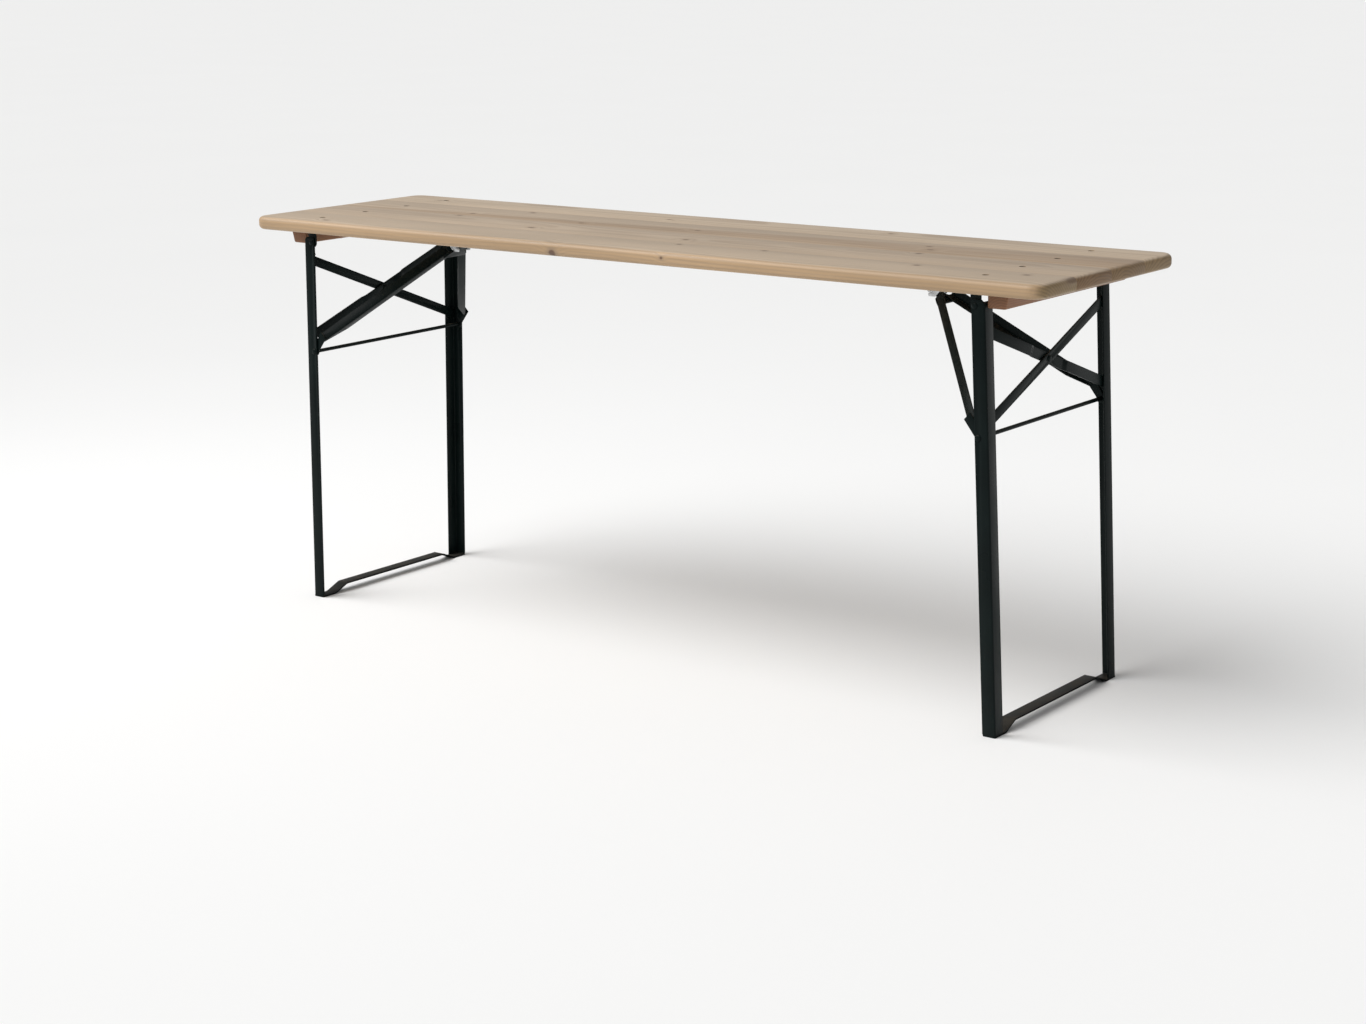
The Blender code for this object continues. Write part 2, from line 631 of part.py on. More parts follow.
def cheek_outline(lip_x, back_x, top):
    """A cheek of the catch bracket in X and Z: its notch opens inboard and a little down."""
    slot = APEX_PIN_RADIUS + CATCH_PLAY
    pull = Vector((-math.cos(CATCH_TILT), -math.sin(CATCH_TILT)))
    below = Vector((-pull.y, pull.x)) * slot
    seat = Vector((APEX.x, APEX.z))
    start = math.degrees(math.atan2(below.y, below.x))
    notch = arc(seat, slot, start, start + 180, 10)
    lower = seat + below + pull * ((lip_x - seat.x - below.x) / pull.x)
    upper = seat - below + pull * ((lip_x - seat.x + below.x) / pull.x)
    chin = seat.y - CATCH_CHIN
    heel = [
        (back_x, top), (back_x, seat.y + CATCH_HEEL_RISE), (seat.x + CATCH_HEEL, chin), (lip_x, chin),
    ]
    return [(lip_x, top)] + heel + [tuple(lower)] + notch + [tuple(upper)]


def build_catch(shop, label, side, boards):
    """The notched bracket that the apex pin seats in, and the leaf spring that snaps behind it."""
    top, plate = UNDERSIDE - GAP, STRAP_THICKNESS
    lip_x, back_x = APEX.x - CATCH_LIP, APEX.x + CATCH_BACK
    low, high = (lip_x, -WING_Y, top - plate), (back_x, WING_Y, top)
    bracket = shop.add(block(f"{label}_catch_bracket", low, high), side, shop.zinc)
    cheek = cheek_outline(lip_x, back_x, top - plate / 2)
    for kind, y in (("front", -CHEEK_INNER_Y - plate), ("rear", CHEEK_INNER_Y)):
        shop.tool(bracket, prism(f"{label}_cheek_{kind}", cheek, y, y + plate, ALONG_Y), "UNION")
    for index, y in enumerate((-CATCH_SCREW_Y, CATCH_SCREW_Y)):
        name = f"{label}_catch_screw_{index + 1}"
        place = (APEX.x + CATCH_SCREW_X, y)
        clearance_hole(shop, bracket, f"{name}_hole", place, plate)
        build_screw(shop, name, side, place, plate + GAP, SCREW_BITE, boards)
    build_spring(shop, label, side, boards)


def bent_strip(path, thickness):
    """The outline of a strip that follows a path of (x, z) points, its thickness on the path's left."""
    points = [Vector(point) for point in path]
    normals = []
    for here, ahead in zip(points, points[1:]):
        run = (ahead - here).normalized()
        normals.append(Vector((-run.y, run.x)))
    left = []
    for index, point in enumerate(points):
        before, after = normals[max(index - 1, 0)], normals[min(index, len(normals) - 1)]
        mitre = (before + after).normalized()
        left.append(point + mitre * thickness / mitre.dot(after))
    return [tuple(point) for point in points + left[::-1]]


def build_spring(shop, label, side, boards):
    """A bent strip: screwed flat under the top, then down over the apex pin to a nose in front of it."""
    x, z = APEX.x, APEX.z
    top = UNDERSIDE - GAP
    nose_x = x - SPRING_NOSE
    saddle = z + APEX_PIN_RADIUS + CATCH_LIP
    path = [
        (x + SPRING_END, top), (x + SPRING_BEND, top), (x + CATCH_HEEL, saddle),
        (x - APEX_PIN_RADIUS / 2, saddle - 2 * CATCH_PLAY),
        (nose_x, z + APEX_PIN_RADIUS + CATCH_PLAY), (nose_x, z - SPRING_NOSE_DROP),
    ]
    outline = bent_strip(path, SPRING_THICKNESS)
    name = f"{label}_catch_spring"
    spring = prism(name, outline, -SPRING_HALF_WIDTH, SPRING_HALF_WIDTH, ALONG_Y)
    shop.add(spring, side, shop.spring)
    for index, y in enumerate((-SPRING_SCREW_Y, SPRING_SCREW_Y)):
        screw = f"{label}_spring_screw_{index + 1}"
        place = (x + SPRING_SCREW_X, y)
        clearance_hole(shop, spring, f"{screw}_hole", place, SPRING_THICKNESS)
        build_screw(shop, screw, side, place, SPRING_THICKNESS + GAP, SCREW_BITE, boards)


def build_side(shop, label, turn, boards):
    """One end of the table: the fittings under the top, the leg frame and its brace.

    Each pivot keeps its place in the side's own axes, in which every piece is drawn.
    """
    side = shop.empty(f"{label}_side", (0, 0, 0), turn)
    side["in_side_axes"] = (0.0, 0.0, 0.0)
    hinge = shop.empty(f"{label}_leg_axis", HINGE, parent=side)
    hinge["in_side_axes"] = tuple(HINGE)
    brace = shop.empty(f"{label}_brace_axis", ROD - HINGE, parent=hinge)
    brace["in_side_axes"] = tuple(ROD)
    ends = (("front", -1), ("rear", 1)) if not turn else (("rear", -1), ("front", 1))
    build_batten(shop, label, side, boards)
    build_catch(shop, label, side, boards)
    build_top_rivets(shop, label, side, build_hinge_rail(shop, label, side), boards)
    for end, sign in ends:
        name = f"{label}_{end}"
        build_hinge_pin(shop, name, side, sign)
        build_leg(shop, f"{name}_leg", hinge, MIRROR_Y if sign > 0 else Matrix.Identity(4))
        build_arm(shop, f"{name}_brace_arm", brace, sign > 0)
    build_cross(shop, label, hinge)
    build_foot_bar(shop, label, hinge)
    build_rod(shop, label, hinge)
    build_apex(shop, label, brace)


def main():
    clear_scene()
    shop = Shop()
    boards = build_boards(shop)
    build_side(shop, "right", 0, boards)
    build_side(shop, "left", math.pi, boards)


main()
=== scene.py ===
"""The looks of a folding trestle table: a board top on two folding leg frames of painted steel angle.

Metres, +Z up, +X along the top. Everything at one end is drawn for the right-hand end (+X) and placed
by its Side, because the left-hand end is the same one turned half round Z.
"""

import json
import logging
import math
from collections.abc import Callable, Iterator, Sequence
from contextlib import contextmanager
from dataclasses import dataclass, field
from enum import Enum

import bmesh
import bpy
from mathutils import Matrix, Vector


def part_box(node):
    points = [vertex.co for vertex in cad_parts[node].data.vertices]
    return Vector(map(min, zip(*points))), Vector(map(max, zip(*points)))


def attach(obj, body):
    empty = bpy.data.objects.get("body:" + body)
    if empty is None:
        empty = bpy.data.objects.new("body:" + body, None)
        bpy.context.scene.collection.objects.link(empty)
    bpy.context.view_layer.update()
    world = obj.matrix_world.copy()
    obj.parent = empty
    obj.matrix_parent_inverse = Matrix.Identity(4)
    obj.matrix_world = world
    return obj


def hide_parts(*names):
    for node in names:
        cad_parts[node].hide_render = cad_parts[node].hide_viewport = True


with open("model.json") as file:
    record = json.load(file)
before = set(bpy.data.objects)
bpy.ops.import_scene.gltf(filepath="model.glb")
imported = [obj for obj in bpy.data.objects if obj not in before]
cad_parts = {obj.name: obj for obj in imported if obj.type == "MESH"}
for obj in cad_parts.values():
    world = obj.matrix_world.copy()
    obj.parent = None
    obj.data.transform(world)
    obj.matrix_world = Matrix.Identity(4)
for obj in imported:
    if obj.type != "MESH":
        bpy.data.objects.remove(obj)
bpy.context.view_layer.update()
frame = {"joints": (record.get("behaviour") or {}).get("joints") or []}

LOG = logging.getLogger("folding_table")
NEAR = 1e-5
DRILL_STROKE = 0.012
DEEP_STROKE = 0.1
X_AXIS = Vector((1, 0, 0))
Y_AXIS = Vector((0, 1, 0))
Z_AXIS = Vector((0, 0, 1))
MIRROR_Y = Matrix.Diagonal((1, -1, 1, 1))
Colour = tuple[float, float, float]
Socket = bpy.types.NodeSocket


class Side(Enum):
    """An end of the table: its name, and its turn about Z from the end that is drawn."""

    RIGHT = ("right", 0.0)
    LEFT = ("left", math.pi)

    @property
    def label(self) -> str:
        """The word that this end's pieces start with."""
        return self.value[0]

    @property
    def turn(self) -> Matrix:
        """The matrix that takes the drawn end to this end."""
        return Matrix.Rotation(self.value[1], 4, "Z")

    def corner(self, sign: int) -> str:
        """The word for the leg that is drawn at this sign of Y."""
        is_front = (sign < 0) == (self is Side.RIGHT)
        return f"{self.label}_{'front' if is_front else 'rear'}"


# ---------------------------------------------------------------------------------------------
# Modelling
# ---------------------------------------------------------------------------------------------


class Workpiece:
    """One mesh object on the bench, shaped with Blender's own operators."""

    def __init__(self, name: str) -> None:
        """Takes hold of the object that an operator has just added.

        Args:
            name: What the object is called.
        """
        self.obj = bpy.context.object
        self.obj.name = name
        self.obj.data.name = name
        self._settle()

    @staticmethod
    def deselect() -> None:
        """Deselects every object."""
        bpy.ops.object.select_all(action="DESELECT")

    def _hold(self) -> None:
        """Makes this the only selected object, and the active one."""
        self.deselect()
        self.obj.select_set(True)
        bpy.context.view_layer.objects.active = self.obj

    def _settle(self) -> None:
        """Moves the object's place, turn and scale into its mesh."""
        self._hold()
        bpy.ops.object.transform_apply(location=True, rotation=True, scale=True)

    @classmethod
    def block(cls, name: str, low: Sequence[float], high: Sequence[float]) -> "Workpiece":
        """A box between two opposite corners.

        Args:
            name: The object's name.
            low: The lowest corner.
            high: The highest corner.

        Returns:
            The new workpiece.
        """
        cls.deselect()
        low, high = Vector(low), Vector(high)
        bpy.ops.mesh.primitive_cube_add(size=1, location=(low + high) / 2, scale=high - low)
        return cls(name)

    @classmethod
    def sheet(cls, name: str, low: Vector, high: Vector) -> "Workpiece":
        """A level sheet between two opposite corners.

        Args:
            name: The object's name.
            low: The lowest corner.
            high: The highest corner.

        Returns:
            The new workpiece.
        """
        cls.deselect()
        middle, size = (low + high) / 2, high - low
        bpy.ops.mesh.primitive_plane_add(size=1, location=middle)
        piece = cls(name)
        with piece.editing():
            bpy.ops.mesh.select_all(action="SELECT")
            bpy.ops.transform.resize(value=(size.x, size.y, 1), center_override=middle)
        return piece

    @classmethod
    def turned(cls, name: str, stations: Sequence[tuple[float, float]], sides: int = 24) -> "Workpiece":
        """A round piece about Z, drawn out of a disc from station to station.

        Args:
            name: The object's name.
            stations: Height and radius of each station, in order.
            sides: How many sides the round has.

        Returns:
            The new workpiece.
        """
        cls.deselect()
        (height, radius), *others = stations
        bpy.ops.mesh.primitive_circle_add(
            vertices=sides, radius=radius, fill_type="NGON", location=(0, 0, height)
        )
        piece = cls(name)
        with piece.editing():
            bpy.ops.mesh.select_all(action="SELECT")
            for next_height, next_radius in others:
                lift = {"value": (0, 0, next_height - height)}
                bpy.ops.mesh.extrude_region_move(TRANSFORM_OT_translate=lift)
                ratio = next_radius / radius
                bpy.ops.transform.resize(value=(ratio, ratio, 1), center_override=(0, 0, next_height))
                height, radius = next_height, next_radius
        return piece.face_outwards()

    @contextmanager
    def editing(self) -> Iterator[None]:
        """Edit mode, with nothing selected at its start."""
        self._hold()
        bpy.ops.object.mode_set(mode="EDIT")
        bpy.ops.mesh.select_all(action="DESELECT")
        yield
        bpy.ops.object.mode_set(mode="OBJECT")

    def pick_faces(self, wanted: Callable[[Vector, Vector], bool]) -> None:
        """Selects the faces whose centre and normal are wanted, in edit mode.

        Args:
            wanted: Takes a face's centre and its normal.
        """
        bpy.ops.mesh.select_mode(type="FACE")
        bpy.ops.mesh.select_all(action="DESELECT")
        shape = bmesh.from_edit_mesh(self.obj.data)
        for face in shape.faces:
            face.select_set(wanted(face.calc_center_median(), face.normal))
        shape.select_flush_mode()
        bmesh.update_edit_mesh(self.obj.data)

    def pick_edges(self, wanted: Callable[[Vector, Vector], bool]) -> None:
        """Selects the edges whose two ends are wanted, in edit mode.

        Args:
            wanted: Takes the places of an edge's two ends.
        """
        bpy.ops.mesh.select_mode(type="EDGE")
        bpy.ops.mesh.select_all(action="DESELECT")
        shape = bmesh.from_edit_mesh(self.obj.data)
        for edge in shape.edges:
            edge.select_set(wanted(edge.verts[0].co, edge.verts[1].co))
        bmesh.update_edit_mesh(self.obj.data)

    def pick_points(self, wanted: Callable[[Vector], bool]) -> None:
        """Selects the vertices whose place is wanted, in edit mode.

        Args:
            wanted: Takes a vertex's place.
        """
        bpy.ops.mesh.select_mode(type="VERT")
        bpy.ops.mesh.select_all(action="DESELECT")
        shape = bmesh.from_edit_mesh(self.obj.data)
        for point in shape.verts:
            point.select_set(wanted(point.co))
        shape.select_flush_mode()
        bmesh.update_edit_mesh(self.obj.data)

    def extrude(self, wanted: Callable[[Vector, Vector], bool], offset: Sequence[float]) -> "Workpiece":
        """Draws the wanted faces out by an offset.

        Args:
            wanted: Takes a face's centre and its normal.
            offset: How far the faces go.

        Returns:
            This workpiece.
        """
        with self.editing():
            self.pick_faces(wanted)
            move = {"value": tuple(offset)}
            bpy.ops.mesh.extrude_region_move(TRANSFORM_OT_translate=move)
        return self

    def shift(self, wanted: Callable[[Vector], bool], offset: Sequence[float]) -> "Workpiece":
        """Moves the wanted points by an offset.

        Args:
            wanted: Takes a vertex's place.
            offset: How far the points go.

        Returns:
            This workpiece.
        """
        with self.editing():
            self.pick_points(wanted)
            bpy.ops.transform.translate(value=tuple(offset))
        return self

    def round_edges(
        self, wanted: Callable[[Vector, Vector], bool], radius: float, segments: int = 4
    ) -> "Workpiece":
        """Rounds the wanted edges.

        Args:
            wanted: Takes the places of an edge's two ends.
            radius: The width of the rounding.
            segments: How many strips it has.

        Returns:
            This workpiece.
        """
        with self.editing():
            self.pick_edges(wanted)
            bpy.ops.mesh.bevel(offset=radius, segments=segments, profile=0.5, affect="EDGES")
        return self

    def cut(self, point: Sequence[float], normal: Sequence[float], keep_below: bool = True) -> "Workpiece":
        """Saws right through on a plane, and drops one side.

        Args:
            point: A point on the plane.
            normal: The plane's normal.
            keep_below: Whether the side that the normal points away from is kept.

        Returns:
            This workpiece.
        """
        with self.editing():
            bpy.ops.mesh.select_all(action="SELECT")
            bpy.ops.mesh.bisect(
                plane_co=tuple(point), plane_no=tuple(normal), use_fill=True,
                clear_outer=keep_below, clear_inner=not keep_below,
            )
        return self

    def score(self, point: Sequence[float], normal: Sequence[float]) -> "Workpiece":
        """Adds an edge loop where a plane crosses the mesh, and drops nothing.

        Args:
            point: A point on the plane.
            normal: The plane's normal.

        Returns:
            This workpiece.
        """
        with self.editing():
            bpy.ops.mesh.select_all(action="SELECT")
            bpy.ops.mesh.bisect(plane_co=tuple(point), plane_no=tuple(normal))
        return self

    def combine(self, other: "Workpiece", operation: str) -> "Workpiece":
        """Applies another workpiece to this one with a Boolean, and uses it up.

        Args:
            other: The other workpiece.
            operation: UNION, DIFFERENCE or INTERSECT.

        Returns:
            This workpiece.
        """
        self._hold()
        boolean = self.obj.modifiers.new("combine", "BOOLEAN")
        boolean.operation = operation
        boolean.solver = "EXACT"
        boolean.object = other.obj
        bpy.ops.object.modifier_apply(modifier=boolean.name)
        bpy.data.objects.remove(other.obj)
        return self

    def drill(
        self, centre: Sequence[float], axis: Vector, radius: float, depth: float, sides: int = 24
    ) -> "Workpiece":
        """Drills a round hole.

        Args:
            centre: The middle of the drill's stroke.
            axis: The direction of the hole.
            radius: The hole's radius.
            depth: The whole length of the stroke.
            sides: How many sides the hole has.

        Returns:
            This workpiece.
        """
        bit = Workpiece.turned("bit", [(-depth / 2, radius), (depth / 2, radius)], sides)
        bit.place(Matrix.Translation(centre) @ upright_to(axis))
        return self.combine(bit, "DIFFERENCE")

    def soften(self, width: float, segments: int = 2, angle: float = 35.0) -> "Workpiece":
        """Breaks every sharp edge.

        Args:
            width: How wide the broken edge is.
            segments: How many strips it has.
            angle: The least angle, in degrees, of an edge that counts as sharp.

        Returns:
            This workpiece.
        """
        self._hold()
        bevel = self.obj.modifiers.new("soften", "BEVEL")
        bevel.width = width
        bevel.segments = segments
        bevel.limit_method = "ANGLE"
        bevel.angle_limit = math.radians(angle)
        bevel.use_clamp_overlap = True
        bpy.ops.object.modifier_apply(modifier=bevel.name)
        return self

    def thicken(self, thickness: float) -> "Workpiece":
        """Gives a sheet its thickness, half on each side.

        Args:
            thickness: The whole thickness.

        Returns:
            This workpiece.
        """
        self._hold()
        solid = self.obj.modifiers.new("thicken", "SOLIDIFY")
        solid.thickness = thickness
        solid.offset = 0
        bpy.ops.object.modifier_apply(modifier=solid.name)
        return self.face_outwards()

    def face_outwards(self) -> "Workpiece":
        """Merges doubled points and turns every face outwards."""
        with self.editing():
            bpy.ops.mesh.select_all(action="SELECT")
            bpy.ops.mesh.remove_doubles(threshold=NEAR / 2)
            bpy.ops.mesh.normals_make_consistent(inside=False)
        return self

    def place(self, matrix: Matrix) -> "Workpiece":
        """Puts the piece somewhere else, with its place in its mesh.

        Args:
            matrix: What takes it there from where it is.

        Returns:
            This workpiece.
        """
        self._hold()
        self.obj.matrix_world = matrix
        self._settle()
        return self.face_outwards() if matrix.determinant() < 0 else self

    def copy(self, name: str) -> "Workpiece":
        """A second piece like this one, with its own mesh.

        Args:
            name: The new piece's name.

        Returns:
            The new workpiece.
        """
        self._hold()
        bpy.ops.object.duplicate(linked=False)
        return Workpiece(name)

    def scrap(self) -> None:
        """Removes the piece."""
        bpy.data.objects.remove(self.obj)

    def join(self, others: Sequence["Workpiece"]) -> "Workpiece":
        """Makes other pieces part of this one.

        Args:
            others: The pieces that are used up.

        Returns:
            This workpiece.
        """
        self._hold()
        for other in others:
            other.obj.select_set(True)
        bpy.ops.object.join()
        return self

    def finish(
        self, body: str, finish: "Finish", stands_for: Sequence[str] = (), smooth: float = 32.0
    ) -> "Workpiece":
        """Shades, paints and mounts the finished piece.

        Args:
            body: The body that it rides on.
            finish: Its surface.
            stands_for: The CAD nodes that it replaces.
            smooth: The largest angle, in degrees, that is shaded smooth.

        Returns:
            This workpiece.
        """
        self._hold()
        bpy.ops.object.shade_smooth_by_angle(angle=math.radians(smooth))
        self.obj.data.materials.clear()
        self.obj.data.materials.append(finish.material())
        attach(self.obj, body)
        if stands_for:
            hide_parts(*stands_for)
        LOG.info("%s rides on %s, %d faces", self.obj.name, body, len(self.obj.data.polygons))
        return self


def upright_to(axis: Vector) -> Matrix:
    """The turn that takes +Z to an axis.

    Args:
        axis: Where +Z ends up.

    Returns:
        A 4x4 rotation.
    """
    return Z_AXIS.rotation_difference(axis).to_matrix().to_4x4()


def facing(direction: Vector, beyond: float | None = None) -> Callable[[Vector, Vector], bool]:
    """A test for faces that look one way.

    Args:
        direction: The way that they look.
        beyond: How far along it their centre must at least be.

    Returns:
        The test, for a face's centre and normal.
    """

    def wanted(centre: Vector, normal: Vector) -> bool:
        """Whether a face is one of them."""
        return normal.dot(direction) > 0.99 and (beyond is None or centre.dot(direction) > beyond - NEAR)

    return wanted


def arc_stations(radius: float, height: float, base: float, steps: int) -> list[tuple[float, float]]:
    """Stations of a low round head that ends in a small flat.

    Args:
        radius: The head's radius.
        height: How high it stands; below 0 it hangs down.
        base: The height that it stands on.
        steps: How many stations there are after the first.

    Returns:
        Height and radius of each station, from the base.
    """
    flat = 0.12
    angles = [i / steps * math.acos(flat) for i in range(steps + 1)]
    return [(base + height * math.sin(a), radius * math.cos(a)) for a in angles]


# ---------------------------------------------------------------------------------------------
# Finishes
# ---------------------------------------------------------------------------------------------


class Recipe:
    """A material while its nodes are being put together."""

    def __init__(self, name: str) -> None:
        """Starts a material with one shader.

        Args:
            name: The material's name.
        """
        self.material = bpy.data.materials.new(name)
        self.material.use_nodes = True
        self.tree = self.material.node_tree
        self.shader = self.tree.nodes["Principled BSDF"]
        self.place = self.tree.nodes.new("ShaderNodeTexCoord")

    @property
    def position(self) -> Socket:
        """The point on the piece, in the table's own axes."""
        return self.place.outputs["Object"]

    @property
    def normal(self) -> Socket:
        """The way that the surface looks, in the table's own axes."""
        return self.place.outputs["Normal"]

    def _feed(self, socket: Socket, value: "Socket | float | Sequence[float]") -> None:
        """Links a socket to another, or sets its value."""
        if isinstance(value, bpy.types.NodeSocket):
            self.tree.links.new(value, socket)
        elif isinstance(value, (int, float)):
            socket.default_value = value
        else:
            value = tuple(value)
            wide = len(socket.default_value) == 4 and len(value) == 3
            socket.default_value = (*value, 1) if wide else value

    def math(self, operation: str, *values: "Socket | float", clamp: bool = False) -> Socket:
        """A Math node.

        Args:
            operation: Its operation.
            values: Its inputs.
            clamp: Whether the result is kept between 0 and 1.

        Returns:
            Its value.
        """
        node = self.tree.nodes.new("ShaderNodeMath")
        node.operation = operation
        node.use_clamp = clamp
        for socket, value in zip(node.inputs, values):
            self._feed(socket, value)
        return node.outputs[0]

    def vector(self, operation: str, *values: "Socket | Sequence[float] | float") -> Socket:
        """A Vector Math node.

        Args:
            operation: Its operation.
            values: Its inputs.

        Returns:
            Its vector, or its number where the result is one.
        """
        node = self.tree.nodes.new("ShaderNodeVectorMath")
        node.operation = operation
        for socket, value in zip(node.inputs, values):
            self._feed(socket, value)
        return node.outputs["Value" if operation in ("LENGTH", "DOT_PRODUCT") else "Vector"]

    def split(self, vector: Socket) -> tuple[Socket, Socket, Socket]:
        """The three parts of a vector."""
        node = self.tree.nodes.new("ShaderNodeSeparateXYZ")
        self._feed(node.inputs[0], vector)
        return node.outputs[0], node.outputs[1], node.outputs[2]

    def merge(self, x: "Socket | float", y: "Socket | float", z: "Socket | float") -> Socket:
        """A vector from its three parts."""
        node = self.tree.nodes.new("ShaderNodeCombineXYZ")
        for socket, value in zip(node.inputs, (x, y, z)):
            self._feed(socket, value)
        return node.outputs[0]

    def noise(
        self, vector: Socket, scale: float, detail: float = 3.0, roughness: float = 0.5,
        stretch: Sequence[float] | None = None,
    ) -> Socket:
        """Soft noise.

        Args:
            vector: Where it is read.
            scale: How fine it is.
            detail: How many finer layers it has.
            roughness: How strong they are.
            stretch: A factor on each axis of the place it is read at.

        Returns:
            A number about 0.5.
        """
        if stretch:
            vector = self.vector("MULTIPLY", vector, stretch)
        node = self.tree.nodes.new("ShaderNodeTexNoise")
        self._feed(node.inputs["Vector"], vector)
        node.inputs["Scale"].default_value = scale
        node.inputs["Detail"].default_value = detail
        node.inputs["Roughness"].default_value = roughness
        return node.outputs["Fac"]

    def cells(self, vector: Socket, scale: float, feature: str = "F1", output: str = "Distance") -> Socket:
        """A cell pattern.

        Args:
            vector: Where it is read.
            scale: How fine it is.
            feature: Which feature of the cells is given.
            output: Which of the node's outputs is taken.

        Returns:
            That output.
        """
        node = self.tree.nodes.new("ShaderNodeTexVoronoi")
        node.feature = feature
        self._feed(node.inputs["Vector"], vector)
        node.inputs["Scale"].default_value = scale
        return node.outputs[output]

    def fade(
        self, value: Socket, low: float, high: float, at_low: float = 0.0, at_high: float = 1.0
    ) -> Socket:
        """A smooth step from one level to another.

        Args:
            value: What it follows.
            low: Where the step starts.
            high: Where it ends.
            at_low: The level before it.
            at_high: The level after it.

        Returns:
            The level.
        """
        node = self.tree.nodes.new("ShaderNodeMapRange")
        node.interpolation_type = "SMOOTHSTEP"
        levels = {"From Min": low, "From Max": high, "To Min": at_low, "To Max": at_high}
        for name, number in levels.items():
            node.inputs[name].default_value = number
        self._feed(node.inputs["Value"], value)
        return node.outputs["Result"]

    def mix(
        self, share: "Socket | float", first: "Socket | Colour", second: "Socket | Colour",
        blend: str = "MIX",
    ) -> Socket:
        """A mix of two colours.

        Args:
            share: How much of the second there is.
            first: The first colour.
            second: The second colour.
            blend: How they are blended.

        Returns:
            The colour.
        """
        node = self.tree.nodes.new("ShaderNodeMix")
        node.data_type = "RGBA"
        node.blend_type = blend
        self._feed(node.inputs[0], share)
        self._feed(node.inputs[6], first)
        self._feed(node.inputs[7], second)
        return node.outputs[2]

    def bump(self, height: Socket, depth: float, strength: float = 1.0) -> None:
        """Gives the shader a relief.

        Args:
            height: The height, about 0 to 1.
            depth: What a height of 1 stands for, in metres.
            strength: How much of it shows.
        """
        node = self.tree.nodes.new("ShaderNodeBump")
        node.inputs["Strength"].default_value = strength
        node.inputs["Distance"].default_value = depth
        self._feed(node.inputs["Height"], height)
        self._feed(self.shader.inputs["Normal"], node.outputs["Normal"])

    def feed(self, name: str, value: "Socket | float | Sequence[float]") -> None:
        """Sets or links an input of the shader."""
        self._feed(self.shader.inputs[name], value)


@dataclass(frozen=True)
class Finish:
    """A surface: the record's slot that it belongs to, and the name of its material."""

    slot: str
    name: str

    def material(self) -> bpy.types.Material:
        """The material, made the first time that it is asked for."""
        found = bpy.data.materials.get(self.name)
        if found:
            return found
        recipe = Recipe(self.name)
        self.mixed_in(recipe)
        return recipe.material

    def mixed_in(self, recipe: Recipe) -> None:
        """Puts the nodes together.

        Args:
            recipe: The material that they go in.
        """
        raise NotImplementedError


@dataclass(frozen=True)
class Knot:
    """A branch in a board: where it meets the top, its radius, and how dark it is.

    One with a height doesn't reach the top, and shows where it meets an edge instead.
    """

    x: float
    y: float
    radius: float
    depth: float = 1.0
    height: float | None = None


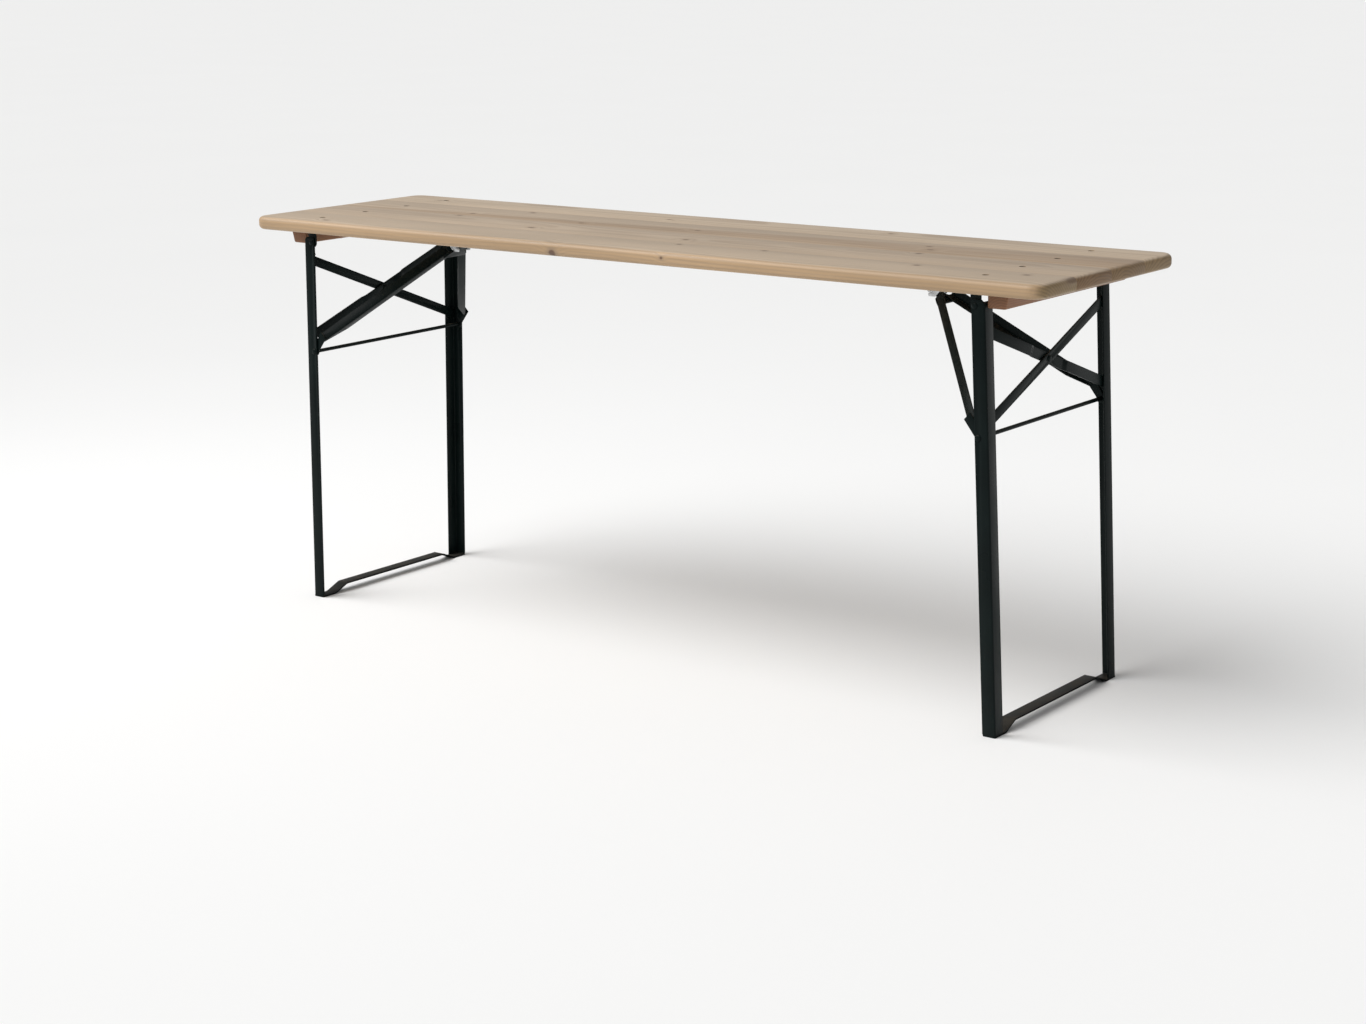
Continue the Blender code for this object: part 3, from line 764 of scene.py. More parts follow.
@dataclass(frozen=True)
class Softwood(Finish):
    """Planed softwood, cut out of growth rings that run all through the piece."""

    pale: Colour = (0.50, 0.394, 0.284)
    dark: Colour = (0.29, 0.205, 0.135)
    heart: Colour = (0.290, 0.194, 0.118)
    edge: Colour = (0.425, 0.278, 0.148)
    end: Colour = (0.27, 0.18, 0.10)
    knot_colour: Colour = (0.115, 0.060, 0.034)
    pith: tuple[float, float] = (0.0, 0.66)
    ring: float = 0.0055
    along_y: bool = False
    contrast: float = 0.5
    seed: float = 0.0
    top: float = 0.76
    knots: tuple[Knot, ...] = ()
    # A darker band along one board: its edge across the board at the left and right ends, the board's half
    # length, and where the band starts across.
    heart_band: tuple[float, float, float, float] | None = None

    def mixed_in(self, recipe: Recipe) -> None:
        """Puts the nodes together.

        Args:
            recipe: The material that they go in.
        """
        x, y, z = recipe.split(recipe.position)
        nx, ny, _ = recipe.split(recipe.normal)
        if self.along_y:
            x, y, nx, ny = y, x, ny, nx
        place = recipe.merge(recipe.math("ADD", x, self.seed), y, z)
        distance, knot_core, knot_ring = self.rings(recipe, place, (x, y, z))
        phase = recipe.math("FRACT", recipe.math("DIVIDE", distance, self.ring))
        rise, fall = recipe.fade(phase, 0.25, 0.86), recipe.fade(phase, 0.93, 1.0, 1.0, 0.0)
        late = recipe.math("MULTIPLY", rise, fall)
        fibre = recipe.noise(place, 1.0, 4.0, 0.62, (7.0, 420.0, 420.0))
        streak = recipe.noise(place, 1.0, 3.0, 0.5, (1.6, 62.0, 62.0))
        cloud = recipe.noise(place, 1.0, 2.0, 0.5, (2.2, 9.0, 9.0))
        grain = recipe.math("MULTIPLY", late, recipe.fade(streak, 0.3, 0.7, 0.45, 1.0))
        colour = recipe.mix(recipe.math("MULTIPLY", grain, self.contrast), self.pale, self.dark)
        tone = recipe.fade(cloud, 0.3, 0.72, 0.94, 1.07)
        tone = recipe.math("MULTIPLY", tone, recipe.fade(fibre, 0.25, 0.75, 0.90, 1.06))
        tone = recipe.math("MULTIPLY", tone, recipe.fade(streak, 0.25, 0.8, 0.95, 1.05))
        # Mixes in a darker band that widens along the board towards +X.
        if self.heart_band:
            colour = recipe.mix(self.heart_share(recipe, x, y, streak, cloud), colour, self.heart, "MIX")
        flank = recipe.fade(recipe.math("ABSOLUTE", ny), 0.12, 0.65)
        warm = recipe.mix(recipe.math("MULTIPLY", grain, self.contrast), self.edge, self.dark)
        colour = recipe.mix(recipe.math("MULTIPLY", flank, 0.9), colour, warm)
        sawn = recipe.fade(recipe.math("ABSOLUTE", nx), 0.45, 0.9)
        pores = recipe.noise(place, 900.0, 2.0, 0.6)
        rings = recipe.math("MULTIPLY", late, 0.6)
        end = recipe.mix(rings, self.end, tuple(c * 0.55 for c in self.end))
        end = recipe.mix(recipe.fade(pores, 0.35, 0.7, 0.0, 0.35), end, tuple(c * 0.6 for c in self.end))
        colour = recipe.mix(sawn, colour, end)
        colour = recipe.mix(knot_ring, colour, self.dark)
        colour = recipe.mix(knot_core, colour, self.knot_colour)
        colour = recipe.mix(1.0, colour, recipe.merge(tone, tone, tone), "MULTIPLY")
        recipe.feed("Base Color", colour)
        rough = recipe.fade(fibre, 0.25, 0.75, 0.42, 0.56)
        rough = recipe.math("ADD", rough, recipe.math("MULTIPLY", sawn, 0.18))
        recipe.feed("Roughness", rough)
        recipe.feed("Specular IOR Level", 0.42)
        recipe.feed("Coat Weight", 0.12)
        recipe.feed("Coat Roughness", 0.35)
        relief = recipe.math("MULTIPLY", fibre, 0.5)
        relief = recipe.math("ADD", relief, recipe.math("MULTIPLY", grain, -0.35))
        relief = recipe.math("ADD", relief, recipe.math("MULTIPLY", knot_ring, 0.5))
        recipe.bump(relief, 0.00018, 0.7)

    def rings(
        self, recipe: Recipe, place: Socket, at: tuple[Socket, Socket, Socket]
    ) -> tuple[Socket, Socket, Socket]:
        """How far each point is from the pith, pushed aside by the knots.

        Args:
            recipe: The material that the nodes go in.
            place: The point, moved by the seed.
            at: The point along, across and up.

        Returns:
            The distance, the share of knot core, and the share of the dark ring round it.
        """
        _, y, z = at
        drift = recipe.noise(place, 1.0, 2.0, 0.5, (0.9, 0.9, 0.9))
        wander = recipe.noise(place, 1.0, 2.0, 0.5, (3.2, 14.0, 14.0))
        across = recipe.math("ADD", y, recipe.math("MULTIPLY_ADD", drift, 0.09, -0.045 - self.pith[0]))
        above = recipe.math("ADD", z, recipe.math("MULTIPLY_ADD", drift, 0.05, -0.025 - self.pith[1]))
        distance = recipe.vector("LENGTH", recipe.merge(0.0, across, above))
        distance = recipe.math("ADD", distance, recipe.math("MULTIPLY", wander, 0.009))
        core, halo = 0.0, 0.0
        for knot in self.knots:
            reach = self.reach(recipe, knot, at, wander)
            push = recipe.fade(reach, 0.6, 4.5, 1.1 * knot.radius, 0.0)
            distance = recipe.math("ADD", distance, push)
            core = recipe.math("MAXIMUM", core, recipe.fade(reach, 0.5, 0.95, 0.75 * knot.depth, 0.0))
            halo = recipe.math("MAXIMUM", halo, recipe.fade(reach, 0.7, 1.9, 0.6 * knot.depth, 0.0))
        return distance, core, halo

    def reach(
        self, recipe: Recipe, knot: Knot, at: tuple[Socket, Socket, Socket], wander: Socket
    ) -> Socket:
        """How far each point is from a knot's middle, in radii of the knot.

        Args:
            recipe: The material that the nodes go in.
            knot: The knot.
            at: The point along, across and up.
            wander: Long soft noise.

        Returns:
            The distance.
        """
        x, y, z = at
        wobble = recipe.math("MULTIPLY_ADD", wander, 0.5 * knot.radius, -0.25 * knot.radius)
        along = recipe.math("ADD", recipe.math("SUBTRACT", x, knot.x), wobble)
        beside = recipe.math("SUBTRACT", y, knot.y)
        if knot.height is None:
            lean = recipe.math("MULTIPLY_ADD", z, 0.35, -0.35 * self.top)
            along = recipe.math("ADD", along, lean)
            beside = recipe.math("ADD", beside, recipe.math("MULTIPLY", lean, 0.4))
            up = 0.0
        else:
            beside = recipe.math("MULTIPLY", beside, 0.3)
            up = recipe.math("SUBTRACT", z, knot.height)
        away = recipe.vector("LENGTH", recipe.merge(recipe.math("MULTIPLY", along, 0.8), beside, up))
        return recipe.math("DIVIDE", away, knot.radius)

    def heart_share(self, recipe: Recipe, x: Socket, y: Socket, streak: Socket, cloud: Socket) -> Socket:
        """How much of the darker slanting band shows at a point: a strip that widens along the board
        towards +X.

        Args:
            recipe: The material that the nodes go in.
            x: The place along the board.
            y: The place across it.
            streak: Long fine noise.
            cloud: Long soft noise.

        Returns:
            The share of the band.
        """
        edge_left, edge_right, half_length, near = self.heart_band
        slope = (edge_right - edge_left) / (2 * half_length)
        rim = recipe.math("MULTIPLY_ADD", x, slope, (edge_left + edge_right) / 2)
        rim = recipe.math("ADD", rim, recipe.math("MULTIPLY_ADD", cloud, 0.03, -0.015))
        inside = recipe.fade(recipe.math("SUBTRACT", rim, y), -0.004, 0.012)
        beyond = recipe.fade(y, near - 0.002, near + 0.006)
        share = recipe.math("MULTIPLY", inside, beyond)
        return recipe.math("MULTIPLY", share, recipe.fade(streak, 0.2, 0.8, 0.35, 0.8))


@dataclass(frozen=True)
class Enamel(Finish):
    """Stove enamel on steel: a thick semi-gloss coat, with a little dust and rub."""

    body: Colour = (0.0030, 0.0062, 0.0060)
    rubbed: Colour = (0.010, 0.015, 0.014)

    def mixed_in(self, recipe: Recipe) -> None:
        """Puts the nodes together.

        Args:
            recipe: The material that they go in.
        """
        cloud = recipe.noise(recipe.position, 9.0, 3.0, 0.55)
        peel = recipe.noise(recipe.position, 420.0, 2.0, 0.45)
        rub = recipe.noise(recipe.position, 46.0, 5.0, 0.68)
        scratch = recipe.noise(recipe.position, 1.0, 3.0, 0.6, (260.0, 260.0, 22.0))
        _, _, up = recipe.split(recipe.normal)
        colour = recipe.mix(recipe.fade(cloud, 0.35, 0.7), self.body, tuple(c * 1.45 for c in self.body))
        worn = recipe.math("MULTIPLY", recipe.fade(rub, 0.6, 0.74), 0.55)
        colour = recipe.mix(worn, colour, self.rubbed)
        dust = recipe.math("MULTIPLY", recipe.fade(up, 0.45, 0.98), recipe.fade(rub, 0.35, 0.7, 0.25, 0.7))
        colour = recipe.mix(dust, colour, (0.060, 0.052, 0.043))
        recipe.feed("Base Color", colour)
        rough = recipe.fade(cloud, 0.3, 0.7, 0.26, 0.40)
        rough = recipe.math("ADD", rough, recipe.math("MULTIPLY", worn, 0.22))
        rough = recipe.math("ADD", rough, recipe.fade(scratch, 0.62, 0.8, 0.0, 0.14))
        recipe.feed("Roughness", recipe.math("ADD", rough, recipe.math("MULTIPLY", dust, 0.35)))
        recipe.feed("Specular IOR Level", 0.08)
        relief = recipe.math("ADD", peel, recipe.math("MULTIPLY", scratch, 0.35))
        recipe.bump(relief, 0.00006, 0.55)


@dataclass(frozen=True)
class BareMetal(Finish):
    """Uncoated or plated steel, with its grain, marks and tarnish."""

    bright: Colour = (0.62, 0.63, 0.64)
    dull: Colour = (0.36, 0.36, 0.35)
    rough: tuple[float, float] = (0.24, 0.42)
    flakes: float = 320.0
    brushed: Sequence[float] = (60.0, 60.0, 60.0)
    tarnish: Colour = (0.22, 0.15, 0.09)
    spread: float = 0.72

    def mixed_in(self, recipe: Recipe) -> None:
        """Puts the nodes together.

        Args:
            recipe: The material that they go in.
        """
        flake = recipe.cells(recipe.position, self.flakes, output="Color")
        tone, _, _ = recipe.split(flake)
        lines = recipe.noise(recipe.position, 1.0, 4.0, 0.6, self.brushed)
        spots = recipe.noise(recipe.position, 70.0, 4.0, 0.65)
        colour = recipe.mix(recipe.math("MULTIPLY", tone, 0.45), self.bright, self.dull)
        colour = recipe.mix(recipe.fade(lines, 0.35, 0.75, 0.0, 0.5), colour, self.dull)
        marked = recipe.fade(spots, self.spread - 0.14, self.spread)
        colour = recipe.mix(recipe.math("MULTIPLY", marked, 0.75), colour, self.tarnish)
        recipe.feed("Base Color", colour)
        recipe.feed("Metallic", recipe.math("SUBTRACT", 1.0, recipe.math("MULTIPLY", marked, 0.4)))
        rough = recipe.fade(lines, 0.3, 0.7, *self.rough)
        recipe.feed("Roughness", recipe.math("ADD", rough, recipe.math("MULTIPLY", marked, 0.3)))
        recipe.bump(recipe.math("ADD", lines, recipe.math("MULTIPLY", spots, 0.5)), 0.00004, 0.6)


@dataclass(frozen=True)
class StudioPaint(Finish):
    """The pale floor of the studio."""

    tone: Colour = (0.92, 0.92, 0.915)

    def mixed_in(self, recipe: Recipe) -> None:
        """Puts the nodes together.

        Args:
            recipe: The material that they go in.
        """
        cloud = recipe.noise(recipe.position, 1.3, 2.0, 0.5)
        recipe.feed("Base Color", recipe.mix(cloud, self.tone, tuple(c * 0.985 for c in self.tone)))
        recipe.feed("Roughness", 0.85)


ENAMEL = Enamel("painted_steel", "dark_green_enamel")
ZINC = BareMetal("zinc_steel", "zinc_plate")
DULL = BareMetal(
    "dull_steel", "oxidised_rivet_steel", bright=(0.17, 0.14, 0.115), dull=(0.085, 0.068, 0.055),
    rough=(0.40, 0.58), spread=0.62,
)
SPRING = BareMetal(
    "spring_steel", "blued_spring_steel", bright=(0.42, 0.42, 0.43), dull=(0.24, 0.24, 0.26),
    rough=(0.22, 0.36), brushed=(24.0, 900.0, 24.0), tarnish=(0.20, 0.15, 0.13), spread=0.76,
)
BATTEN_WOOD = Softwood(
    "batten_wood", "batten_softwood", pale=(0.28, 0.130, 0.056), dark=(0.19, 0.078, 0.034),
    edge=(0.28, 0.130, 0.056), end=(0.25, 0.115, 0.055), pith=(0.81, 0.70), ring=0.0042,
    along_y=True, contrast=0.75,
)


# ---------------------------------------------------------------------------------------------
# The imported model's own sizes
# ---------------------------------------------------------------------------------------------


@dataclass(frozen=True)
class Layout:
    """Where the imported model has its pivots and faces, in the drawn end's axes."""

    hinge: Vector
    rod: Vector
    apex: Vector
    top_low: Vector
    top_high: Vector
    leg_low: Vector
    leg_high: Vector
    clearance: float = 0.0003

    @classmethod
    def read(cls) -> "Layout":
        """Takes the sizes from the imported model.

        Returns:
            The layout.
        """
        pivots = {joint["name"]: Vector(joint["pos_m"]) for joint in frame["joints"]}
        pin_low, pin_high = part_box("right_apex_pin")
        low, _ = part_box("tabletop_board_1")
        _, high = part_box("tabletop_board_4")
        leg_low, leg_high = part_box("right_front_leg")
        hinge, rod = pivots["right_leg_fold"], pivots["right_brace_fold"]
        return cls(hinge, rod, (pin_low + pin_high) / 2, low, high, leg_low, leg_high)

    @property
    def lean(self) -> float:
        """How far the legs lean outwards for each metre down."""
        return (self.rod.x - self.hinge.x) / (self.hinge.z - self.rod.z)

    @property
    def underside(self) -> float:
        """The height of the top's underside."""
        return self.top_low.z

    @property
    def leg_y(self) -> float:
        """How far the legs' outer faces are from the table's centre line."""
        return -self.leg_low.y

    @property
    def foot_x(self) -> float:
        """Where the legs' end faces would meet the floor."""
        return self.leg_high.x + self.leg_low.z * self.lean

    def leaned_x(self, inset: float, height: float) -> float:
        """X of a line that lies inset from the legs' end face.

        Args:
            inset: How far it is from that face.
            height: The height that it is wanted at.

        Returns:
            Its X.
        """
        return self.foot_x - inset - height * self.lean

    def brace(self) -> Matrix:
        """The brace's frame: its origin on the rod; towards the apex, +Y, and up and outboard."""
        along = (self.apex - self.rod).normalized()
        axes = Matrix((along, Y_AXIS, Y_AXIS.cross(along))).transposed().to_4x4()
        axes.translation = self.rod
        return axes

    @property
    def reach(self) -> float:
        """How far the apex is from the rod."""
        return (self.apex - self.rod).length


# ---------------------------------------------------------------------------------------------
# The top
# ---------------------------------------------------------------------------------------------


@dataclass
class BoardTop:
    """Four boards glued edge to edge, with round corners and bull-nosed edges."""

    layout: Layout
    corner_radius: float = 0.028
    edge_radius: float = 0.0092
    seam_edge: float = 0.0005
    rivet_sink: float = 0.0030
    rivet_bore: float = 0.0059
    shank_bore: float = 0.0028
    knots: tuple[tuple[Knot, ...], ...] = (
        (
            Knot(0.596, -0.136, 0.006), Knot(0.807, -0.140, 0.006), Knot(0.275, -0.121, 0.005),
            Knot(0.095, -0.130, 0.005), Knot(-0.712, -0.200, 0.006),
            Knot(-0.115, -0.230, 0.0080, 1.2, 0.741), Knot(0.134, -0.230, 0.0035, 1.0, 0.750),
            Knot(0.885, -0.127, 0.0080, 0.7, 0.757),
        ),
        (
            Knot(0.520, -0.012, 0.006), Knot(0.065, -0.073, 0.006), Knot(-0.546, -0.006, 0.006),
            Knot(-0.295, -0.081, 0.007),
        ),
        (
            Knot(0.510, 0.040, 0.007), Knot(0.485, 0.075, 0.006), Knot(-0.545, 0.030, 0.006),
            Knot(-0.450, 0.100, 0.006), Knot(-0.260, 0.022, 0.006), Knot(0.000, 0.045, 0.006),
        ),
        (Knot(-0.760, 0.165, 0.007, 0.45), Knot(0.330, 0.190, 0.005), Knot(-0.150, 0.150, 0.005)),
    )

    @property
    def pitch(self) -> float:
        """The width of one board."""
        return (self.layout.top_high.y - self.layout.top_low.y) / len(self.knots)

    def woods(self) -> list[Softwood]:
        """The wood of each board, front to back."""
        half_length = self.layout.top_high.x
        piths = ((-0.235, 0.690), (-0.040, 0.665), (0.030, 0.700), (0.205, 0.640))
        rings = (0.0062, 0.0054, 0.0060, 0.0068)
        ends: tuple[Colour, ...] = (
            (0.300, 0.205, 0.100), (0.250, 0.150, 0.074), (0.265, 0.170, 0.084), (0.300, 0.205, 0.108),
        )
        pales: tuple[Colour, ...] = (
            (0.500, 0.394, 0.284), (0.468, 0.366, 0.264), (0.470, 0.370, 0.268), (0.490, 0.390, 0.284),
        )
        return [
            Softwood(
                "top_wood", f"board_{i + 1}_softwood", pale=pales[i], end=ends[i], pith=piths[i],
                ring=rings[i], seed=3.7 * i, knots=self.knots[i], top=self.layout.top_high.z,
                # Board 3 has a darker band from its front seam to a line that slants from 18 mm in at the
                # left end to 112 mm in at the right.
                heart_band=(0.018, 0.112, half_length, 0.0) if i == 2 else None,
            )
            for i in range(len(self.knots))
        ]

    def slab(self) -> Workpiece:
        """The whole top before it is parted into boards.

        Returns:
            The slab.
        """
        slab = Workpiece.block("slab", self.layout.top_low, self.layout.top_high)
        slab.round_edges(lambda a, b: abs(a.z - b.z) > NEAR, self.corner_radius, 10)
        slab.round_edges(lambda a, b: abs(a.z - b.z) < NEAR, self.edge_radius, 6)
        return slab

    def bore(self, board: Workpiece, index: int) -> None:
        """Drills and sinks the two rivet holes of a board.

        Args:
            board: The board.
            index: Which board it is, from the front.
        """
        y = self.layout.top_low.y + (index + 0.5) * self.pitch
        for x in (-self.layout.hinge.x, self.layout.hinge.x):
            centre = (x, y, self.layout.top_high.z)
            board.drill(centre, Z_AXIS, self.shank_bore, DEEP_STROKE)
            board.drill(centre, Z_AXIS, self.rivet_bore, 2 * self.rivet_sink, 32)

    def build(self) -> None:
        """Builds the boards, front to back."""
        slab = self.slab()
        gap = self.layout.clearance / 2
        for index, wood in enumerate(self.woods()):
            board = slab.copy(f"top_board_{index + 1}")
            seams = []
            if index:
                seams.append(self.layout.top_low.y + index * self.pitch + gap)
                board.cut((0, seams[-1], 0), Y_AXIS, keep_below=False)
            if index < len(self.knots) - 1:
                seams.append(self.layout.top_low.y + (index + 1) * self.pitch - gap)
                board.cut((0, seams[-1], 0), Y_AXIS)
            for seam in seams:
                on_seam = lambda p, seam=seam: abs(p.y - seam) < NEAR
                board.round_edges(lambda a, b: on_seam(a) and on_seam(b), self.seam_edge, 2)
            self.bore(board, index)
            board.finish("tabletop", wood, [f"tabletop_board_{index + 1}"])
        slab.scrap()


@dataclass
class StopBatten:
    """The wooden batten under each end of the top, against which the legs stand."""

    slant: float = 0.006
    rounding: float = 0.003
    screw_y: float = 0.092
    screw_bore: float = 0.0024

    def build(self, side: Side) -> None:
        """Builds one end's batten.

        Args:
            side: The end.
        """
        low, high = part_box("right_batten")
        batten = Workpiece.block(f"{side.label}_stop_batten", low, high)
        slanted = lambda p: p.x > high.x - NEAR and p.z < low.z + NEAR
        batten.shift(slanted, (-self.slant, 0, 0))
        batten.soften(self.rounding, 4)
        x = (low.x + high.x - self.slant) / 2
        for y in (-self.screw_y, self.screw_y):
            batten.drill((x, y, low.z), Z_AXIS, self.screw_bore, DEEP_STROKE)
        batten.place(side.turn)
        batten.finish("tabletop", BATTEN_WOOD, [f"{side.label}_batten"])


# ---------------------------------------------------------------------------------------------
# Fasteners
# ---------------------------------------------------------------------------------------------


@dataclass
class PanScrew:
    """A pan-head wood screw with a cross recess, drawn head down with its seat at the origin."""

    head_radius: float = 0.0042
    head_height: float = 0.0024
    seat_height: float = 0.0022
    shank_radius: float = 0.0020
    thread_root: float = 0.0014
    thread_pitch: float = 0.0016
    recess_length: float = 0.0046
    recess_width: float = 0.0010
    recess_depth: float = 0.0012
    masters: dict[float, Workpiece] = field(default_factory=dict)

    def master(self, length: float) -> Workpiece:
        """The screw of one length, which is then copied.

        Args:
            length: From the seat to the tip.

        Returns:
            The screw.
        """
        key = round(length, 4)
        if key in self.masters:
            return self.masters[key]
        tip = 2 * self.shank_radius
        count = int((length - tip) * 0.6 / self.thread_pitch)
        start = length - tip - count * self.thread_pitch
        head = arc_stations(self.head_radius, -self.head_height, 0, 6)[::-1]
        stations = head + [(0.0, self.shank_radius), (start, self.shank_radius)]
        for turn in range(count):
            base = start + turn * self.thread_pitch
            stations += [
                (base + self.thread_pitch * 0.35, self.thread_root),
                (base + self.thread_pitch * 0.85, self.shank_radius),
            ]
        stations.append((length, self.thread_root * 0.2))
        screw = Workpiece.turned("screw_master", stations, 20)
        for long_x in (True, False):
            half = Vector((self.recess_length, self.recess_width, 2 * self.recess_depth)) / 2
            if not long_x:
                half = Vector((half.y, half.x, half.z))
            centre = Vector((0, 0, -self.head_height))
            screw.combine(Workpiece.block("recess", centre - half, centre + half), "DIFFERENCE")
        self.masters[key] = screw
        return screw

    def drive(self, node: str, name: str, turn: float) -> None:
        """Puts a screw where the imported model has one.

        Args:
            node: The CAD node that it replaces.
            name: The new piece's name.
            turn: How the recess is turned, in degrees.
        """
        low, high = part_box(node)
        x, y = (low.x + high.x) / 2, (low.y + high.y) / 2
        seat = low.z + self.seat_height
        screw = self.master(high.z - seat).copy(name)
        spot = Matrix.Translation((x, y, seat)) @ Matrix.Rotation(math.radians(turn), 4, "Z")
        screw.place(spot).finish("tabletop", ZINC, [node])

    def build(self) -> None:
        """Drives every screw under the top."""
        for side in Side:
            for index, kind in enumerate(("batten", "catch", "spring")):
                for number in (1, 2):
                    node = f"{side.label}_{kind}_screw_{number}"
                    turn = 23 + 37 * index + 61 * number + (18 if side is Side.LEFT else 0)
                    self.drive(node, f"{side.label}_{kind}_pan_screw_{number}", turn)
        for screw in self.masters.values():
            screw.scrap()


@dataclass
class TopRivets:
    """The row of rivets across each end of the top, one for each board."""

    layout: Layout
    head_radius: float = 0.0055
    head_height: float = 0.0022
    shank_radius: float = 0.0025
    tail_radius: float = 0.0046
    dish: float = 0.0003

    def build(self) -> None:
        """Sets every rivet."""
        low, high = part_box("right_top_rivet_1")
        head = high.z
        tail = low.z + self.head_height
        under = arc_stations(self.tail_radius, low.z - tail, tail, 5)[::-1]
        stations = under + [
            (tail, self.shank_radius), (head - self.head_height, self.shank_radius),
            (head - self.head_height, self.head_radius), (head - self.dish, self.head_radius),
            (head, self.head_radius - self.dish), (head, self.head_radius * 0.55),
            (head - self.dish, self.head_radius * 0.40),
        ]
        master = Workpiece.turned("rivet_master", stations, 28)
        for side in Side:
            for number in range(1, 5):
                node = f"{side.label}_top_rivet_{number}"
                low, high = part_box(node)
                rivet = master.copy(f"{side.label}_board_rivet_{number}")
                rivet.place(Matrix.Translation(((low.x + high.x) / 2, (low.y + high.y) / 2, 0)))
                rivet.finish("tabletop", DULL, [node])
        master.scrap()


def set_rivet(
    name: str, grip: float, shank: float, head: float, height: float, axis: Vector, centre: Sequence[float]
) -> Workpiece:
    """A rivet with a low round head at each end.

    Args:
        name: The piece's name.
        grip: The length between its heads.
        shank: The shank's radius.
        head: The heads' radius.
        height: The heads' height.
        axis: The direction that it goes through in.
        centre: The middle of its grip.

    Returns:
        The rivet, in place.
    """
    lower = arc_stations(head, -height, -grip / 2, 5)[::-1]
    upper = arc_stations(head, height, grip / 2, 5)
    stations = lower + [(-grip / 2, shank), (grip / 2, shank)] + upper
    rivet = Workpiece.turned(name, stations, 24)
    return rivet.place(Matrix.Translation(centre) @ upright_to(axis))


# ---------------------------------------------------------------------------------------------
# The leg frame
# ---------------------------------------------------------------------------------------------


